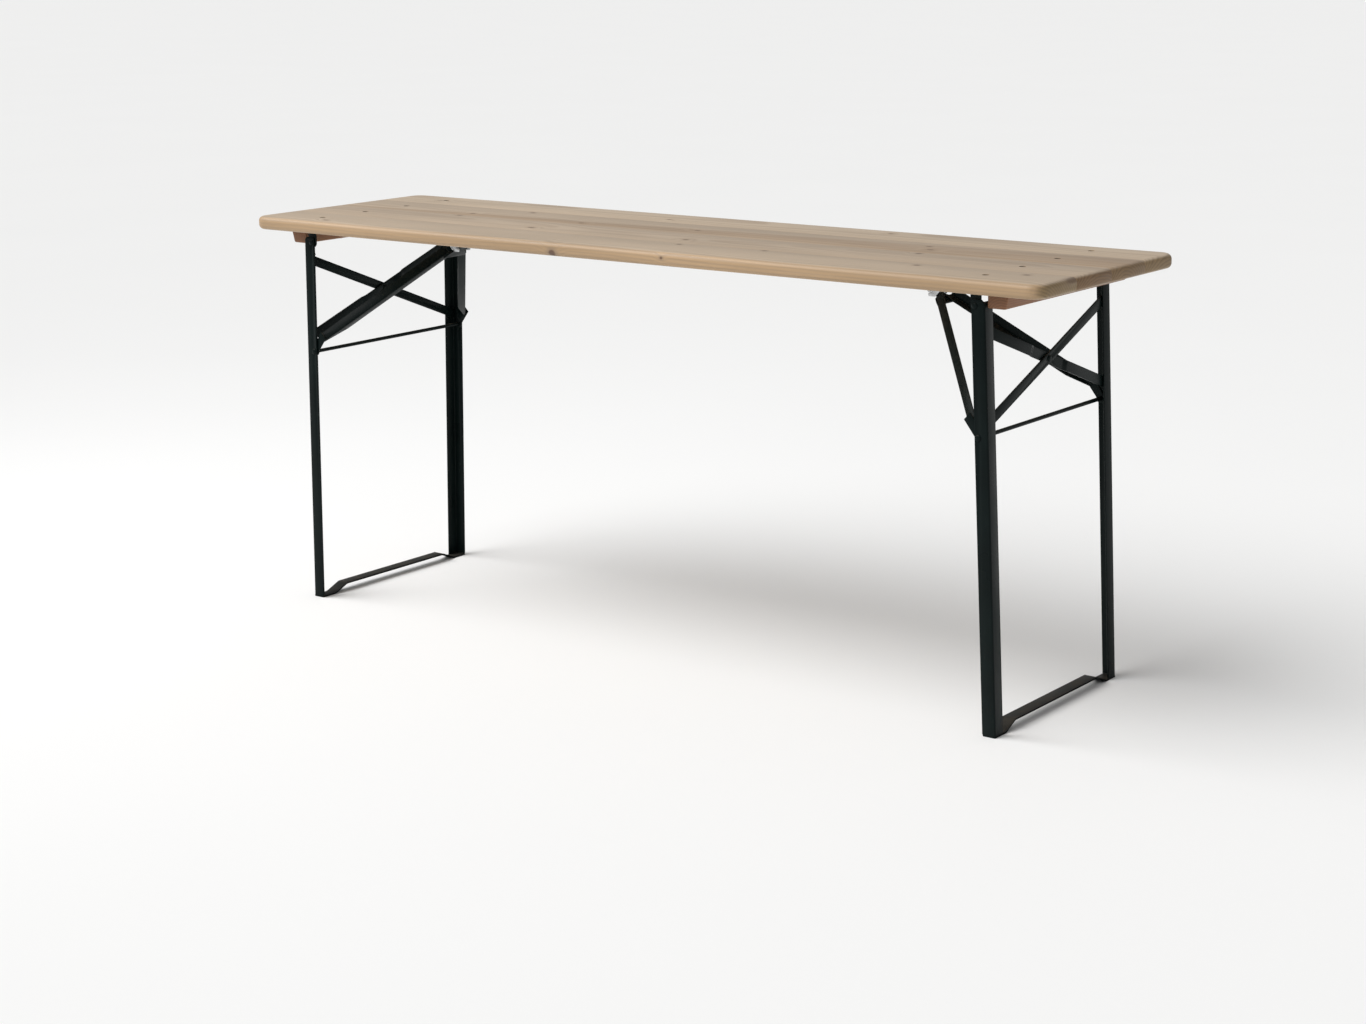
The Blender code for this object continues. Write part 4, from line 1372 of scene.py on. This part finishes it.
@dataclass
class LegFrame:
    """Two angle-section legs with a foot bar, two crossed bars and the cross rod."""

    layout: Layout
    width: float = 0.025
    wall: float = 0.003
    heel_radius: float = 0.0028
    toe_radius: float = 0.0012
    shoulder_height: float = 0.004
    pivot_inset: float = 0.0185
    pin_radius: float = 0.003
    rod_radius: float = 0.0035
    rivet_head: float = 0.0055
    rivet_height: float = 0.0022
    rod_head: float = 0.0058
    cross_width: float = 0.018
    rising: tuple[float, float] = (0.6015, math.radians(22.9))
    falling: tuple[float, float] = (0.602, math.radians(-21.3))
    crest: float = 0.052
    joggle_foot: float = 0.062
    edge_break: float = 0.0004
    throat_radius: float = 0.0016
    joggle_radius: float = 0.0025
    foot_rise: float = 0.014
    foot_corner: float = 0.002
    pad: float = 0.034
    ramp: float = 0.032
    bend: float = 0.0045
    bead_radius: float = 0.0017
    mirrored_beads: int = 2

    def leg(self) -> Workpiece:
        """The drawn end's leg at -Y.

        Returns:
            The leg, in place.
        """
        plan, wall, width = self.layout, self.wall, self.width
        foot, top = plan.leg_low.z, plan.leg_high.z
        outer = plan.leaned_x(0, foot)
        low = (outer - width, -plan.leg_y, foot)
        leg = Workpiece.block("leg", low, (outer, wall - plan.leg_y, top))
        leg.score((outer - wall, 0, 0), X_AXIS)
        at_end = lambda centre, normal: normal.y > 0.99 and centre.x > outer - wall
        leg.extrude(at_end, (0, width - wall, 0))
        upright = lambda a, b: abs(a.z - b.z) > wall
        corner = lambda p: p.x > outer - NEAR and p.y < NEAR - plan.leg_y
        leg.round_edges(lambda a, b: upright(a, b) and corner(a) and corner(b), self.heel_radius, 5)
        throat = lambda p: (
            abs(p.x - outer + wall) < NEAR and abs(p.y + plan.leg_y - wall) < NEAR
        )
        leg.round_edges(lambda a, b: upright(a, b) and throat(a) and throat(b), self.throat_radius, 3)
        toe = lambda p: (p.x < outer - width + NEAR and p.y > wall - plan.leg_y - NEAR) or (
            p.y > width - plan.leg_y - NEAR and p.x < outer - wall + NEAR
        )
        leg.round_edges(lambda a, b: upright(a, b) and toe(a) and toe(b), self.toe_radius, 3)
        leg.shift(lambda p: p.z > top - NEAR, (plan.lean * (foot - top), 0, 0))
        edge = Vector((plan.hinge.x + self.pivot_inset, 0, plan.hinge.z + self.shoulder_height))
        leg.cut(edge, (1, 0, 1))
        for pivot, radius in ((plan.hinge, self.pin_radius), (plan.rod, self.rod_radius)):
            centre = pivot - Vector((0, plan.leg_y, 0))
            leg.drill(centre, Y_AXIS, radius + plan.clearance, DRILL_STROKE)
        return leg.soften(0.00035, 2, 50)

    def crossing(self) -> Vector:
        """The point between the two crossed bars, where the rivet goes through both."""
        (rising, rise), (falling, fall) = self.rising, self.falling
        y = (falling - rising) / (math.tan(rise) - math.tan(fall))
        z = rising + y * math.tan(rise)
        depth = 2 * self.wall + 1.5 * self.layout.clearance
        return Vector((self.layout.leaned_x(depth, z), y, z))

    def bar_axes(self, bar: tuple[float, float]) -> Matrix:
        """The frame of a cross bar: along it, inboard through it, and across its width.

        Args:
            bar: The height of its middle, and its slope in the plane of the legs.

        Returns:
            The frame.
        """
        height, slope = bar
        along = Vector((0, math.cos(slope), math.sin(slope)))
        across = Vector((0, -math.sin(slope), math.cos(slope)))
        axes = Matrix((along, -X_AXIS, across)).transposed().to_4x4()
        clear = self.wall + self.layout.clearance
        axes.translation = (self.layout.foot_x - clear, 0, height)
        leaning = Matrix(((1, 0, -self.layout.lean, 0), (0, 1, 0, 0), (0, 0, 1, 0), (0, 0, 0, 1)))
        return leaning @ axes

    def bar_half(self, slope: float) -> float:
        """Half the length of a cross bar of a slope."""
        clear = self.wall + 2 * self.layout.clearance
        room = self.layout.leg_y - clear - self.cross_width / 2 * abs(math.sin(slope))
        return room / math.cos(slope)

    def cross_bar(self, slope: float, middle: float | None = None) -> Workpiece:
        """One of the crossed bars, in its own frame.

        Args:
            slope: Its slope.
            middle: The place along it where it steps over the other one, if it does.

        Returns:
            The bar.
        """
        half, wall, tall = self.bar_half(slope), self.wall, self.cross_width / 2
        step = wall + self.layout.clearance
        stop = half if middle is None else middle - self.joggle_foot
        bar = Workpiece.block("cross_bar", (-half, 0, -tall), (stop, wall, tall))
        if middle is not None:
            rise = self.joggle_foot - self.crest
            rest = half - self.joggle_foot - middle
            runs = [(rise, step), (2 * self.crest, 0), (rise, -step), (rest, 0)]
            for run, climb in runs:
                bar.extrude(facing(X_AXIS), (run, climb, 0))
            bends = [middle + s for s in (-self.joggle_foot, -self.crest, self.crest, self.joggle_foot)]
            at_bend = lambda a, b: abs(a.x - b.x) < NEAR and any(abs(a.x - s) < NEAR for s in bends)
            across = lambda a, b: abs(a.z - b.z) > wall
            bar.round_edges(lambda a, b: at_bend(a, b) and across(a, b), self.joggle_radius, 3)
        return bar

    def foot_bar(self) -> Workpiece:
        """The flat bar that joins the feet and rises between its pads.

        Returns:
            The bar, in place.
        """
        plan, wall, rise = self.layout, self.wall, self.foot_rise
        outer, end = plan.foot_x, plan.leg_y
        pad = end - self.pad
        flat = pad - self.ramp
        bar = Workpiece.block("foot_bar", (outer - self.width, -end, 0), (outer, -pad, wall))
        drift = plan.lean * rise
        runs = [
            (-drift, self.ramp, rise), (0, 2 * flat, 0), (drift, self.ramp, -rise), (0, self.pad, 0),
        ]
        for run in runs:
            bar.extrude(facing(Y_AXIS), run)
        at_bend = lambda p: any(abs(abs(p.y) - s) < NEAR for s in (pad, flat))
        bar.round_edges(
            lambda a, b: at_bend(a) and at_bend(b) and abs(a.x - b.x) > wall, self.bend, 4
        )
        corner = lambda p: abs(abs(p.y) - end) < NEAR
        upright = lambda a, b: abs(a.z - b.z) > NEAR
        bar.round_edges(lambda a, b: corner(a) and corner(b) and upright(a, b), self.foot_corner, 4)
        return bar.soften(0.0005, 2, 50)

    def beads(self) -> list[tuple[Vector, Vector]]:
        """The two ends of every weld on the drawn end's frame.

        Returns:
            Pairs of points. The first ones are at the foot at -Y, and are mirrored to the other.
        """
        plan, wall, width = self.layout, self.wall, self.width
        floor, side = plan.leg_low.z, plan.leg_y - wall
        inner = plan.foot_x - wall
        lines = [
            (Vector((inner - width + 2 * wall, -side, floor)), Vector((inner - wall, -side, floor))),
            (Vector((inner, -side + wall, floor)), Vector((inner, width - plan.leg_y - wall, floor))),
        ]
        for bar in (self.rising, self.falling):
            for end in (-1, 1):
                lines += self.bar_beads(bar, end)
        return lines

    def bar_beads(self, bar: tuple[float, float], end: int) -> list[tuple[Vector, Vector]]:
        """The welds above and below one end of a cross bar.

        Args:
            bar: The bar.
            end: -1 or 1, the end at -Y or at +Y.

        Returns:
            Pairs of points.
        """
        axes, tall = self.bar_axes(bar), self.cross_width / 2
        tip = self.bar_half(bar[1])
        inner = (self.layout.leg_y - self.width) / math.cos(bar[1])
        lines = []
        for height in (tall, -tall):
            skew = abs(math.tan(bar[1])) * tall
            first = axes @ Vector((end * (tip - 0.004), self.layout.clearance, height))
            last = axes @ Vector((end * (inner + skew + 0.001), self.layout.clearance, height))
            lines.append((first, last))
        return lines

    def build(self, side: Side) -> None:
        """Builds one end's leg frame.

        Args:
            side: The end.
        """
        label, body, plan = side.label, f"{side.label}_leg_frame", self.layout
        leg = self.leg()
        for sign in (-1, 1):
            corner = side.corner(sign)
            piece = leg.copy(f"{corner}_angle_leg")
            piece.place(side.turn @ MIRROR_Y if sign > 0 else side.turn)
            piece.finish(body, ENAMEL, [f"{corner}_leg"])
        leg.scrap()
        normal = Vector((1, 0, plan.lean)).normalized()
        centre = self.crossing()
        middle = centre.y / math.cos(self.falling[1])
        for kind, line, step_at in (("rising", self.rising, None), ("falling", self.falling, middle)):
            bar = self.cross_bar(line[1], step_at).place(self.bar_axes(line))
            bar.drill(centre, normal, self.pin_radius + plan.clearance, 2 * DRILL_STROKE)
            bar.soften(self.edge_break, 2, 50)
            bar.obj.name = f"{label}_{kind}_flat_bar"
            bar.place(side.turn).finish(body, ENAMEL, [f"{label}_cross_bar_{kind}"])
        grip = 2 * (self.wall + 1.5 * plan.clearance)
        rivet = set_rivet(
            f"{label}_crossing_rivet", grip, self.pin_radius, self.rivet_head, self.rivet_height,
            normal, centre,
        )
        rivet.place(side.turn).finish(body, ENAMEL, [f"{label}_cross_rivet"])
        foot = self.foot_bar()
        foot.obj.name = f"{label}_floor_bar"
        foot.place(side.turn).finish(body, ENAMEL, [f"{label}_foot_bar"])
        rod = set_rivet(
            f"{label}_brace_rod", 2 * (plan.leg_y + plan.clearance), self.rod_radius, self.rod_head,
            self.rivet_height, Y_AXIS, plan.rod,
        )
        rod.place(side.turn).finish(body, ENAMEL, [f"{label}_cross_rod"])
        self.weld(side, body)

    def weld(self, side: Side, body: str) -> None:
        """Lays the frame's weld beads.

        Args:
            side: The end.
            body: The body that they ride on.
        """
        beads = [weld_bead(a, b, self.bead_radius) for a, b in self.beads()]
        mirrored = [bead.copy("bead").place(MIRROR_Y) for bead in beads[: self.mirrored_beads]]
        joined = beads[0].join(beads[1:] + mirrored)
        joined.obj.name = f"{side.label}_frame_welds"
        joined.place(side.turn).finish(body, ENAMEL, smooth=60)


def weld_bead(start: Vector, end: Vector, radius: float) -> Workpiece:
    """A rippled weld bead from one point to another.

    Args:
        start: Where it starts.
        end: Where it ends.
        radius: Half its width.

    Returns:
        The bead, in place.
    """
    run = end - start
    ripples = max(4, round(run.length / (1.4 * radius)))
    stations = [(-0.5 * radius, 0.35 * radius)]
    for i in range(ripples):
        base = run.length * i / ripples
        stations += [(base + 0.1 * radius, 0.86 * radius), (base + 0.7 * radius, radius)]
    stations.append((run.length + 0.5 * radius, 0.35 * radius))
    bead = Workpiece.turned("bead", stations, 10)
    return bead.place(Matrix.Translation(start) @ upright_to(run.normalized()))


# ---------------------------------------------------------------------------------------------
# The brace
# ---------------------------------------------------------------------------------------------


@dataclass
class Brace:
    """A V of two angle arms that turns on the rod, with a gusset and the pin that the catch holds."""

    layout: Layout
    width: float = 0.017
    wall: float = 0.0025
    apex_y: float = 0.010
    lug_reach: float = 0.027
    end_gap: float = 0.020
    flange_start: float = 0.028
    taper_end: float = 0.062
    lug_length: float = 0.040
    eye_radius: float = 0.0085
    rod_bore: float = 0.0038
    plate: float = 0.003
    plate_outline: tuple[tuple[float, float], ...] = (
        (0.0043, 0.012), (0.014, 0.012), (0.019, 0.021), (0.033, 0.031),
    )
    pin_chamfer: float = 0.001
    bead_radius: float = 0.0014
    bead_inset: float = 0.0006
    bead_sink: float = 0.0002
    pin_bead_drop: float = 0.0012
    edge_break: float = 0.0004
    flange_tip: float = 1.1
    leg_wall: float = 0.003

    def edge(self, distance: float) -> float:
        """How far an arm's outer edge is from the centre line, at a distance from the rod."""
        plan = self.layout
        spread = plan.leg_y - self.leg_wall - 2 * plan.clearance - self.apex_y
        return self.apex_y + spread * (plan.reach - distance) / (plan.reach - self.lug_reach)

    def arm(self) -> Workpiece:
        """The drawn end's arm at -Y.

        Returns:
            The arm, in place.
        """
        start, end = self.lug_reach, self.layout.reach - self.end_gap
        swing = self.edge(start) - self.edge(end)
        slope = math.atan(swing / (end - start))
        wall, width = self.wall / math.cos(slope), self.width / math.cos(slope)
        near = -self.edge(start)
        arm = Workpiece.block("arm", (start, near, 0), (end, near + wall, self.width))
        for station in (self.flange_start, self.taper_end):
            arm.score((station, 0, 0), X_AXIS)
        arm.score((0, 0, self.wall), Z_AXIS)
        inner = lambda c, n: n.y > 0.99 and c.z < self.wall and c.x > self.flange_start
        arm.extrude(inner, (0, width - wall, 0))
        tip = lambda p: abs(p.x - self.flange_start) < NEAR and p.y > near + wall + NEAR
        arm.shift(tip, (0, self.flange_tip * wall - width, 0))
        arm.shift(lambda p: p.x > end - NEAR, (0, swing, 0))
        for station in (self.flange_start, self.taper_end):
            share = (station - start) / (end - start)
            arm.shift(lambda p, at=station: abs(p.x - at) < NEAR, (0, swing * share, 0))
        outer = self.layout.leg_y - self.leg_wall - self.layout.clearance
        lug = Workpiece.block("lug", (0, -outer, 0), (self.lug_length, self.wall - outer, self.width))
        lug.shift(lambda p: p.x < NEAR and p.z > NEAR, (0, 0, -self.width + self.eye_radius * 0.86))
        lug.shift(lambda p: p.x < NEAR and p.z < NEAR, (0, 0, -self.eye_radius * 0.7))
        eye = Workpiece.turned("eye", [(0, self.eye_radius), (self.wall, self.eye_radius)], 32)
        eye.place(Matrix.Translation((0, -outer, 0)) @ upright_to(Y_AXIS))
        lug.combine(eye, "UNION")
        arm.combine(lug, "UNION")
        arm.drill((0, -outer, 0), Y_AXIS, self.rod_bore, DRILL_STROKE)
        return arm.soften(self.edge_break, 2, 50).place(self.layout.brace())

    def gusset(self) -> Workpiece:
        """The plate that joins the arms.

        Returns:
            The plate, in place.
        """
        reach, gap = self.layout.reach, self.layout.clearance
        (back, half), *others = self.plate_outline
        (next_back, _), *others = others
        plate = Workpiece.block(
            "gusset", (reach - next_back, -half, -self.plate - gap), (reach - back, half, -gap)
        )
        back = next_back
        for next_back, next_half in others:
            plate.extrude(facing(-X_AXIS), (back - next_back, 0, 0))
            with plate.editing():
                plate.pick_faces(facing(-X_AXIS))
                middle = (reach - next_back, 0, -gap - self.plate / 2)
                bpy.ops.transform.resize(value=(1, next_half / half, 1), center_override=middle)
            back, half = next_back, next_half
        upright = lambda a, b: abs(a.z - b.z) > NEAR
        plate.round_edges(upright, 0.002, 4)
        return plate.soften(self.edge_break, 2, 50).place(self.layout.brace())

    def beads(self) -> list[tuple[Vector, Vector]]:
        """The two ends of every weld on the brace, for the arm at -Y.

        Returns:
            Pairs of points.
        """
        reach, axes = self.layout.reach, self.layout.brace()
        (back, _), (_, nose_half), (waist, _), (tail, _) = self.plate_outline
        along_arm = [
            Vector((reach - back_by, self.bead_inset - self.edge(reach - back_by), -self.bead_sink))
            for back_by in (tail - 0.003, waist + 0.001)
        ]
        front = reach - back + self.bead_sink
        along_pin = [Vector((front, y, -self.pin_bead_drop)) for y in (0.002 - nose_half, -0.003)]
        return [(axes @ first, axes @ last) for first, last in (along_arm, along_pin)]

    def build(self, side: Side) -> None:
        """Builds one end's brace.

        Args:
            side: The end.
        """
        label, body = side.label, f"{side.label}_brace"
        arm = self.arm()
        for sign in (-1, 1):
            corner = side.corner(sign)
            piece = arm.copy(f"{corner}_angle_arm")
            piece.place(side.turn @ MIRROR_Y if sign > 0 else side.turn)
            piece.finish(body, ENAMEL, [f"{corner}_brace_arm"])
        arm.scrap()
        plate = self.gusset()
        plate.obj.name = f"{label}_gusset_plate"
        plate.place(side.turn).finish(body, ENAMEL, [f"{label}_brace_gusset"])
        low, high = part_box("right_apex_pin")
        radius, half, trim = (high.z - low.z) / 2, (high.y - low.y) / 2, self.pin_chamfer
        stations = [
            (-half, radius - trim), (trim - half, radius), (half - trim, radius), (half, radius - trim),
        ]
        pin = Workpiece.turned(f"{label}_catch_pin", stations, 32)
        pin.place(Matrix.Translation(self.layout.apex) @ upright_to(Y_AXIS))
        pin.place(side.turn).finish(body, ZINC, [f"{label}_apex_pin"])
        beads = [weld_bead(a, b, self.bead_radius) for a, b in self.beads()]
        mirrored = [bead.copy("bead").place(MIRROR_Y) for bead in beads]
        joined = beads[0].join(beads[1:] + mirrored)
        joined.obj.name = f"{label}_brace_welds"
        joined.place(side.turn).finish(body, ENAMEL, smooth=60)


# ---------------------------------------------------------------------------------------------
# Fittings under the top
# ---------------------------------------------------------------------------------------------


@dataclass
class HingeRail:
    """The strap across under the top whose bent ears carry the legs."""

    layout: Layout
    plate: float = 0.0025
    half: float = 0.0098
    bend: float = 0.0028
    bore: float = 0.0033
    rivet_bore: float = 0.0028
    pin_radius: float = 0.003
    head: float = 0.0055
    head_height: float = 0.0022
    leg_wall: float = 0.003
    edge_break: float = 0.0004

    def build(self, side: Side) -> None:
        """Builds one end's rail and its two hinge pins.

        Args:
            side: The end.
        """
        plan, half = self.layout, self.half
        outer = plan.leg_y - self.leg_wall - plan.clearance
        inner, top = outer - self.plate, plan.underside - plan.clearance
        hx, hz = plan.hinge.x, plan.hinge.z
        rail = Workpiece.block(
            f"{side.label}_hinge_strap", (hx - half, -outer, top - self.plate), (hx + half, outer, top)
        )
        for y in (-inner, inner):
            rail.score((0, y, 0), Y_AXIS)
        ears = lambda c, n: n.z < -0.99 and abs(c.y) > inner
        rail.extrude(ears, (0, 0, hz - half - (top - self.plate)))
        foot = lambda p: p.z < hz - half + NEAR
        rail.round_edges(
            lambda a, b: foot(a) and foot(b) and abs(a.y - b.y) > NEAR, half * 0.995, 10
        )
        shoulder = lambda p: p.z > top - NEAR and abs(p.y) > outer - NEAR
        rail.round_edges(lambda a, b: shoulder(a) and shoulder(b), self.bend, 5)
        for sign in (-1, 1):
            rail.drill((hx, sign * (inner + outer) / 2, hz), Y_AXIS, self.bore, DRILL_STROKE)
        for number in range(1, 5):
            low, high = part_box(f"right_top_rivet_{number}")
            rail.drill((hx, (low.y + high.y) / 2, top), Z_AXIS, self.rivet_bore, DRILL_STROKE)
        rail.soften(self.edge_break, 2, 50).place(side.turn)
        rail.finish("tabletop", ENAMEL, [f"{side.label}_hinge_rail"])
        outside, inside = plan.leg_y + plan.clearance, inner - plan.clearance
        for sign in (-1, 1):
            corner = side.corner(sign)
            pin = set_rivet(
                f"{corner}_leg_rivet", outside - inside, self.pin_radius, self.head, self.head_height,
                Y_AXIS, (hx, sign * (outside + inside) / 2, hz),
            )
            pin.place(side.turn).finish("tabletop", ENAMEL, [f"{corner}_hinge_pin"])


@dataclass
class Catch:
    """The notched bracket that holds the brace's pin, and the leaf spring that snaps behind it."""

    layout: Layout
    plate: float = 0.0025
    tilt: float = math.radians(20)
    slot: float = 0.0045
    lip: float = 0.0055
    back: float = 0.029
    chin: float = 0.0125
    heel: float = 0.0085
    heel_rise: float = 0.010
    cheek_y: float = 0.0145
    wing_y: float = 0.040
    screw_x: float = 0.012
    screw_y: float = 0.0285
    bore: float = 0.0023
    spring_thickness: float = 0.0012
    spring_half: float = 0.011
    spring_end: float = 0.062
    spring_bend: float = 0.035
    spring_screw: tuple[float, float] = (0.050, 0.0055)
    spring_nose: float = 0.0055
    nose_drop: float = 0.0035
    pin_radius: float = 0.004
    spring_bend_radius: float = 0.0016
    tip_radius: float = 0.003
    corner_radius: float = 0.005
    edge_break: float = 0.0004

    def cheek(self) -> Workpiece:
        """The cheek at +Y.

        Returns:
            The cheek, in place.
        """
        apex, top = self.layout.apex, self.layout.underside - self.layout.clearance
        low = (apex.x - self.lip, self.cheek_y, apex.z - self.chin)
        high = (apex.x + self.back, self.cheek_y + self.plate, top - self.plate / 2)
        cheek = Workpiece.block("cheek", low, high)
        heel = Vector((self.heel, 0, -self.chin))
        toe = Vector((self.back, 0, self.heel_rise))
        run = toe - heel
        cheek.cut(apex + heel, (run.z, 0, -run.x))
        pull = Vector((-math.cos(self.tilt), 0, -math.sin(self.tilt)))
        slot = Workpiece.turned("slot", [(-0.01, self.slot), (0.01, self.slot)], 36)
        slot.place(Matrix.Translation(apex + Vector((0, self.cheek_y, 0))) @ upright_to(Y_AXIS))
        ahead = lambda p: (p - apex).dot(pull) > NEAR
        slot.shift(ahead, pull * 0.02)
        cheek.combine(slot, "DIFFERENCE")
        lower = lambda p: p.z < apex.z - self.chin + NEAR
        cheek.round_edges(lambda a, b: lower(a) and lower(b) and abs(a.y - b.y) > NEAR, 0.002, 3)
        return cheek

    def bracket(self) -> Workpiece:
        """The plate with its two cheeks.

        Returns:
            The bracket, in place.
        """
        apex, top = self.layout.apex, self.layout.underside - self.layout.clearance
        low = (apex.x - self.lip, -self.wing_y, top - self.plate)
        plate = Workpiece.block("bracket", low, (apex.x + self.back, self.wing_y, top))
        corner = lambda a, b: abs(a.z - b.z) > NEAR
        plate.round_edges(corner, self.corner_radius, 5)
        cheek = self.cheek()
        other = cheek.copy("cheek_2").place(MIRROR_Y)
        plate.combine(cheek, "UNION").combine(other, "UNION")
        for sign in (-1, 1):
            place = (apex.x + self.screw_x, sign * self.screw_y, top)
            plate.drill(place, Z_AXIS, self.bore, DRILL_STROKE)
        return plate.soften(self.edge_break, 2, 50)

    def spring(self) -> Workpiece:
        """The leaf spring: flat under the top, then down over the pin to a nose in front of it.

        Returns:
            The spring, in place.
        """
        apex, middle = self.layout.apex, self.spring_thickness / 2
        top = self.layout.underside - self.layout.clearance - middle
        saddle = apex.z + self.pin_radius + self.lip - middle
        nose_x = apex.x - self.spring_nose - middle
        path = [
            (apex.x + self.spring_end, top), (apex.x + self.spring_bend, top),
            (apex.x + self.heel, saddle), (apex.x - self.pin_radius / 2, saddle - 0.001),
            (nose_x, apex.z + self.slot - middle), (nose_x, apex.z - self.nose_drop),
        ]
        points = [Vector((x, 0, z)) for x, z in path]
        half = self.spring_half
        low = points[1] - Vector((0, half, 0))
        spring = Workpiece.sheet("spring", low, points[0] + Vector((0, half, 0)))
        with spring.editing():
            for here, ahead in zip(points[1:], points[2:]):
                spring.pick_edges(lambda a, b, at=here: (a - b).length > half and _near(a, b, at))
                bpy.ops.mesh.extrude_edges_move(TRANSFORM_OT_translate={"value": ahead - here})
        bends = points[1:-1]
        at_bend = lambda a, b: (a - b).length > half and any(_near(a, b, p) for p in bends)
        spring.round_edges(at_bend, self.spring_bend_radius, 4)
        tip = points[-1]
        at_tip = lambda p: p.z < tip.z + NEAR
        with spring.editing():
            spring.pick_points(lambda p: at_tip(p) or p.x > points[0].x - NEAR)
            bpy.ops.mesh.bevel(offset=self.tip_radius, segments=4, affect="VERTICES")
        spring.thicken(self.spring_thickness)
        for sign in (-1, 1):
            place = (apex.x + self.spring_screw[0], sign * self.spring_screw[1], top)
            spring.drill(place, Z_AXIS, self.bore, DRILL_STROKE)
        return spring

    def build(self, side: Side) -> None:
        """Builds one end's catch.

        Args:
            side: The end.
        """
        bracket = self.bracket()
        bracket.obj.name = f"{side.label}_notched_bracket"
        bracket.place(side.turn).finish("tabletop", ZINC, [f"{side.label}_catch_bracket"])
        spring = self.spring()
        spring.obj.name = f"{side.label}_leaf_spring"
        spring.place(side.turn).finish("tabletop", SPRING, [f"{side.label}_catch_spring"], smooth=40)


def _near(a: Vector, b: Vector, point: Vector) -> bool:
    """Whether an edge across the strip passes through a point, in X and Z."""
    middle = (a + b) / 2
    return abs(middle.x - point.x) < NEAR and abs(middle.z - point.z) < NEAR


# ---------------------------------------------------------------------------------------------
# The studio
# ---------------------------------------------------------------------------------------------


@dataclass
class Studio:
    """A pale floor, soft light and the camera."""

    eye: tuple[float, float, float] = (2.7834, -3.5162, 1.3102)
    heading: float = math.radians(35.495)
    dip: float = math.radians(13.495)
    roll: float = math.radians(-0.486)
    lens: float = 64.857
    shift: float = -0.0915
    floor_size: float = 600.0
    room: float = 0.35
    backdrop: float = 1.0
    key: float = 2.6
    key_from: tuple[float, float, float] = (-0.42, -0.50, 0.76)
    key_softness: float = math.radians(55)
    side_watts: float = 13.0
    side_size: float = 1.4
    side_from: tuple[float, float, float] = (-1.9, -0.7, 2.2)
    side_aim: tuple[float, float, float] = (-0.6, 0, 0.76)

    def floor(self) -> None:
        """Lays the floor."""
        Workpiece.deselect()
        bpy.ops.mesh.primitive_plane_add(size=self.floor_size, location=(0, 0, 0))
        floor = Workpiece("studio_floor")
        with floor.editing():
            bpy.ops.mesh.select_all(action="SELECT")
            bpy.ops.mesh.subdivide(number_cuts=3)
        floor.obj.data.materials.append(StudioPaint("none", "studio_floor_paint").material())

    def hang(self, name: str, lamp: bpy.types.Light, place: Sequence[float], aim: Sequence[float]) -> None:
        """Hangs a lamp.

        Args:
            name: Its name.
            lamp: The lamp.
            place: Where it hangs.
            aim: The point that it looks at.
        """
        obj = bpy.data.objects.new(name, lamp)
        obj.location = place
        obj.rotation_euler = (Vector(aim) - Vector(place)).to_track_quat("-Z", "Y").to_euler()
        bpy.context.scene.collection.objects.link(obj)

    def lights(self) -> None:
        """Hangs the lamps and lights the room, whose backdrop is brighter than its light."""
        key = bpy.data.lights.new("soft_key", "SUN")
        key.energy = self.key
        key.angle = self.key_softness
        self.hang("soft_key", key, Vector(self.key_from) * 4, (0, 0, 0))
        side = bpy.data.lights.new("left_softbox", "AREA")
        side.energy = self.side_watts
        side.size = self.side_size
        self.hang("left_softbox", side, self.side_from, self.side_aim)
        world = bpy.data.worlds.new("studio_room")
        world.use_nodes = True
        tree = world.node_tree
        backing = tree.nodes["Background"]
        backing.inputs["Color"].default_value = (1, 1, 1, 1)
        ray = tree.nodes.new("ShaderNodeLightPath")
        level = tree.nodes.new("ShaderNodeMapRange")
        level.inputs["To Min"].default_value = self.room
        level.inputs["To Max"].default_value = self.backdrop
        tree.links.new(ray.outputs["Is Camera Ray"], level.inputs["Value"])
        tree.links.new(level.outputs["Result"], backing.inputs["Strength"])
        bpy.context.scene.world = world

    def camera(self) -> None:
        """Sets up the camera."""
        ahead = Vector(
            (-math.sin(self.heading) * math.cos(self.dip), math.cos(self.heading) * math.cos(self.dip),
             -math.sin(self.dip))
        )
        right = ahead.cross(Z_AXIS).normalized()
        up = right.cross(ahead)
        turn, tip = math.cos(self.roll), math.sin(self.roll)
        axes = Matrix((right * turn + up * tip, up * turn - right * tip, -ahead)).transposed()
        data = bpy.data.cameras.new("view")
        data.sensor_width = 36.0
        data.lens = self.lens
        data.shift_x = self.shift
        data.clip_end = 200.0
        camera = bpy.data.objects.new("view", data)
        camera.matrix_world = Matrix.Translation(self.eye) @ axes.to_4x4()
        bpy.context.scene.collection.objects.link(camera)
        bpy.context.scene.camera = camera

    def build(self) -> None:
        """Builds the studio."""
        self.floor()
        self.lights()
        self.camera()
        bpy.context.scene.view_settings.view_transform = "Standard"


def main() -> None:
    """Builds the table's looks and the studio."""
    logging.basicConfig(level=logging.INFO, format="%(message)s")
    layout = Layout.read()
    BoardTop(layout).build()
    TopRivets(layout).build()
    PanScrew().build()
    for side in Side:
        StopBatten().build(side)
        HingeRail(layout).build(side)
        Catch(layout).build(side)
        LegFrame(layout).build(side)
        Brace(layout).build(side)
    Studio().build()
    bpy.ops.object.select_all(action="DESELECT")


if __name__ == "__main__":
    main()
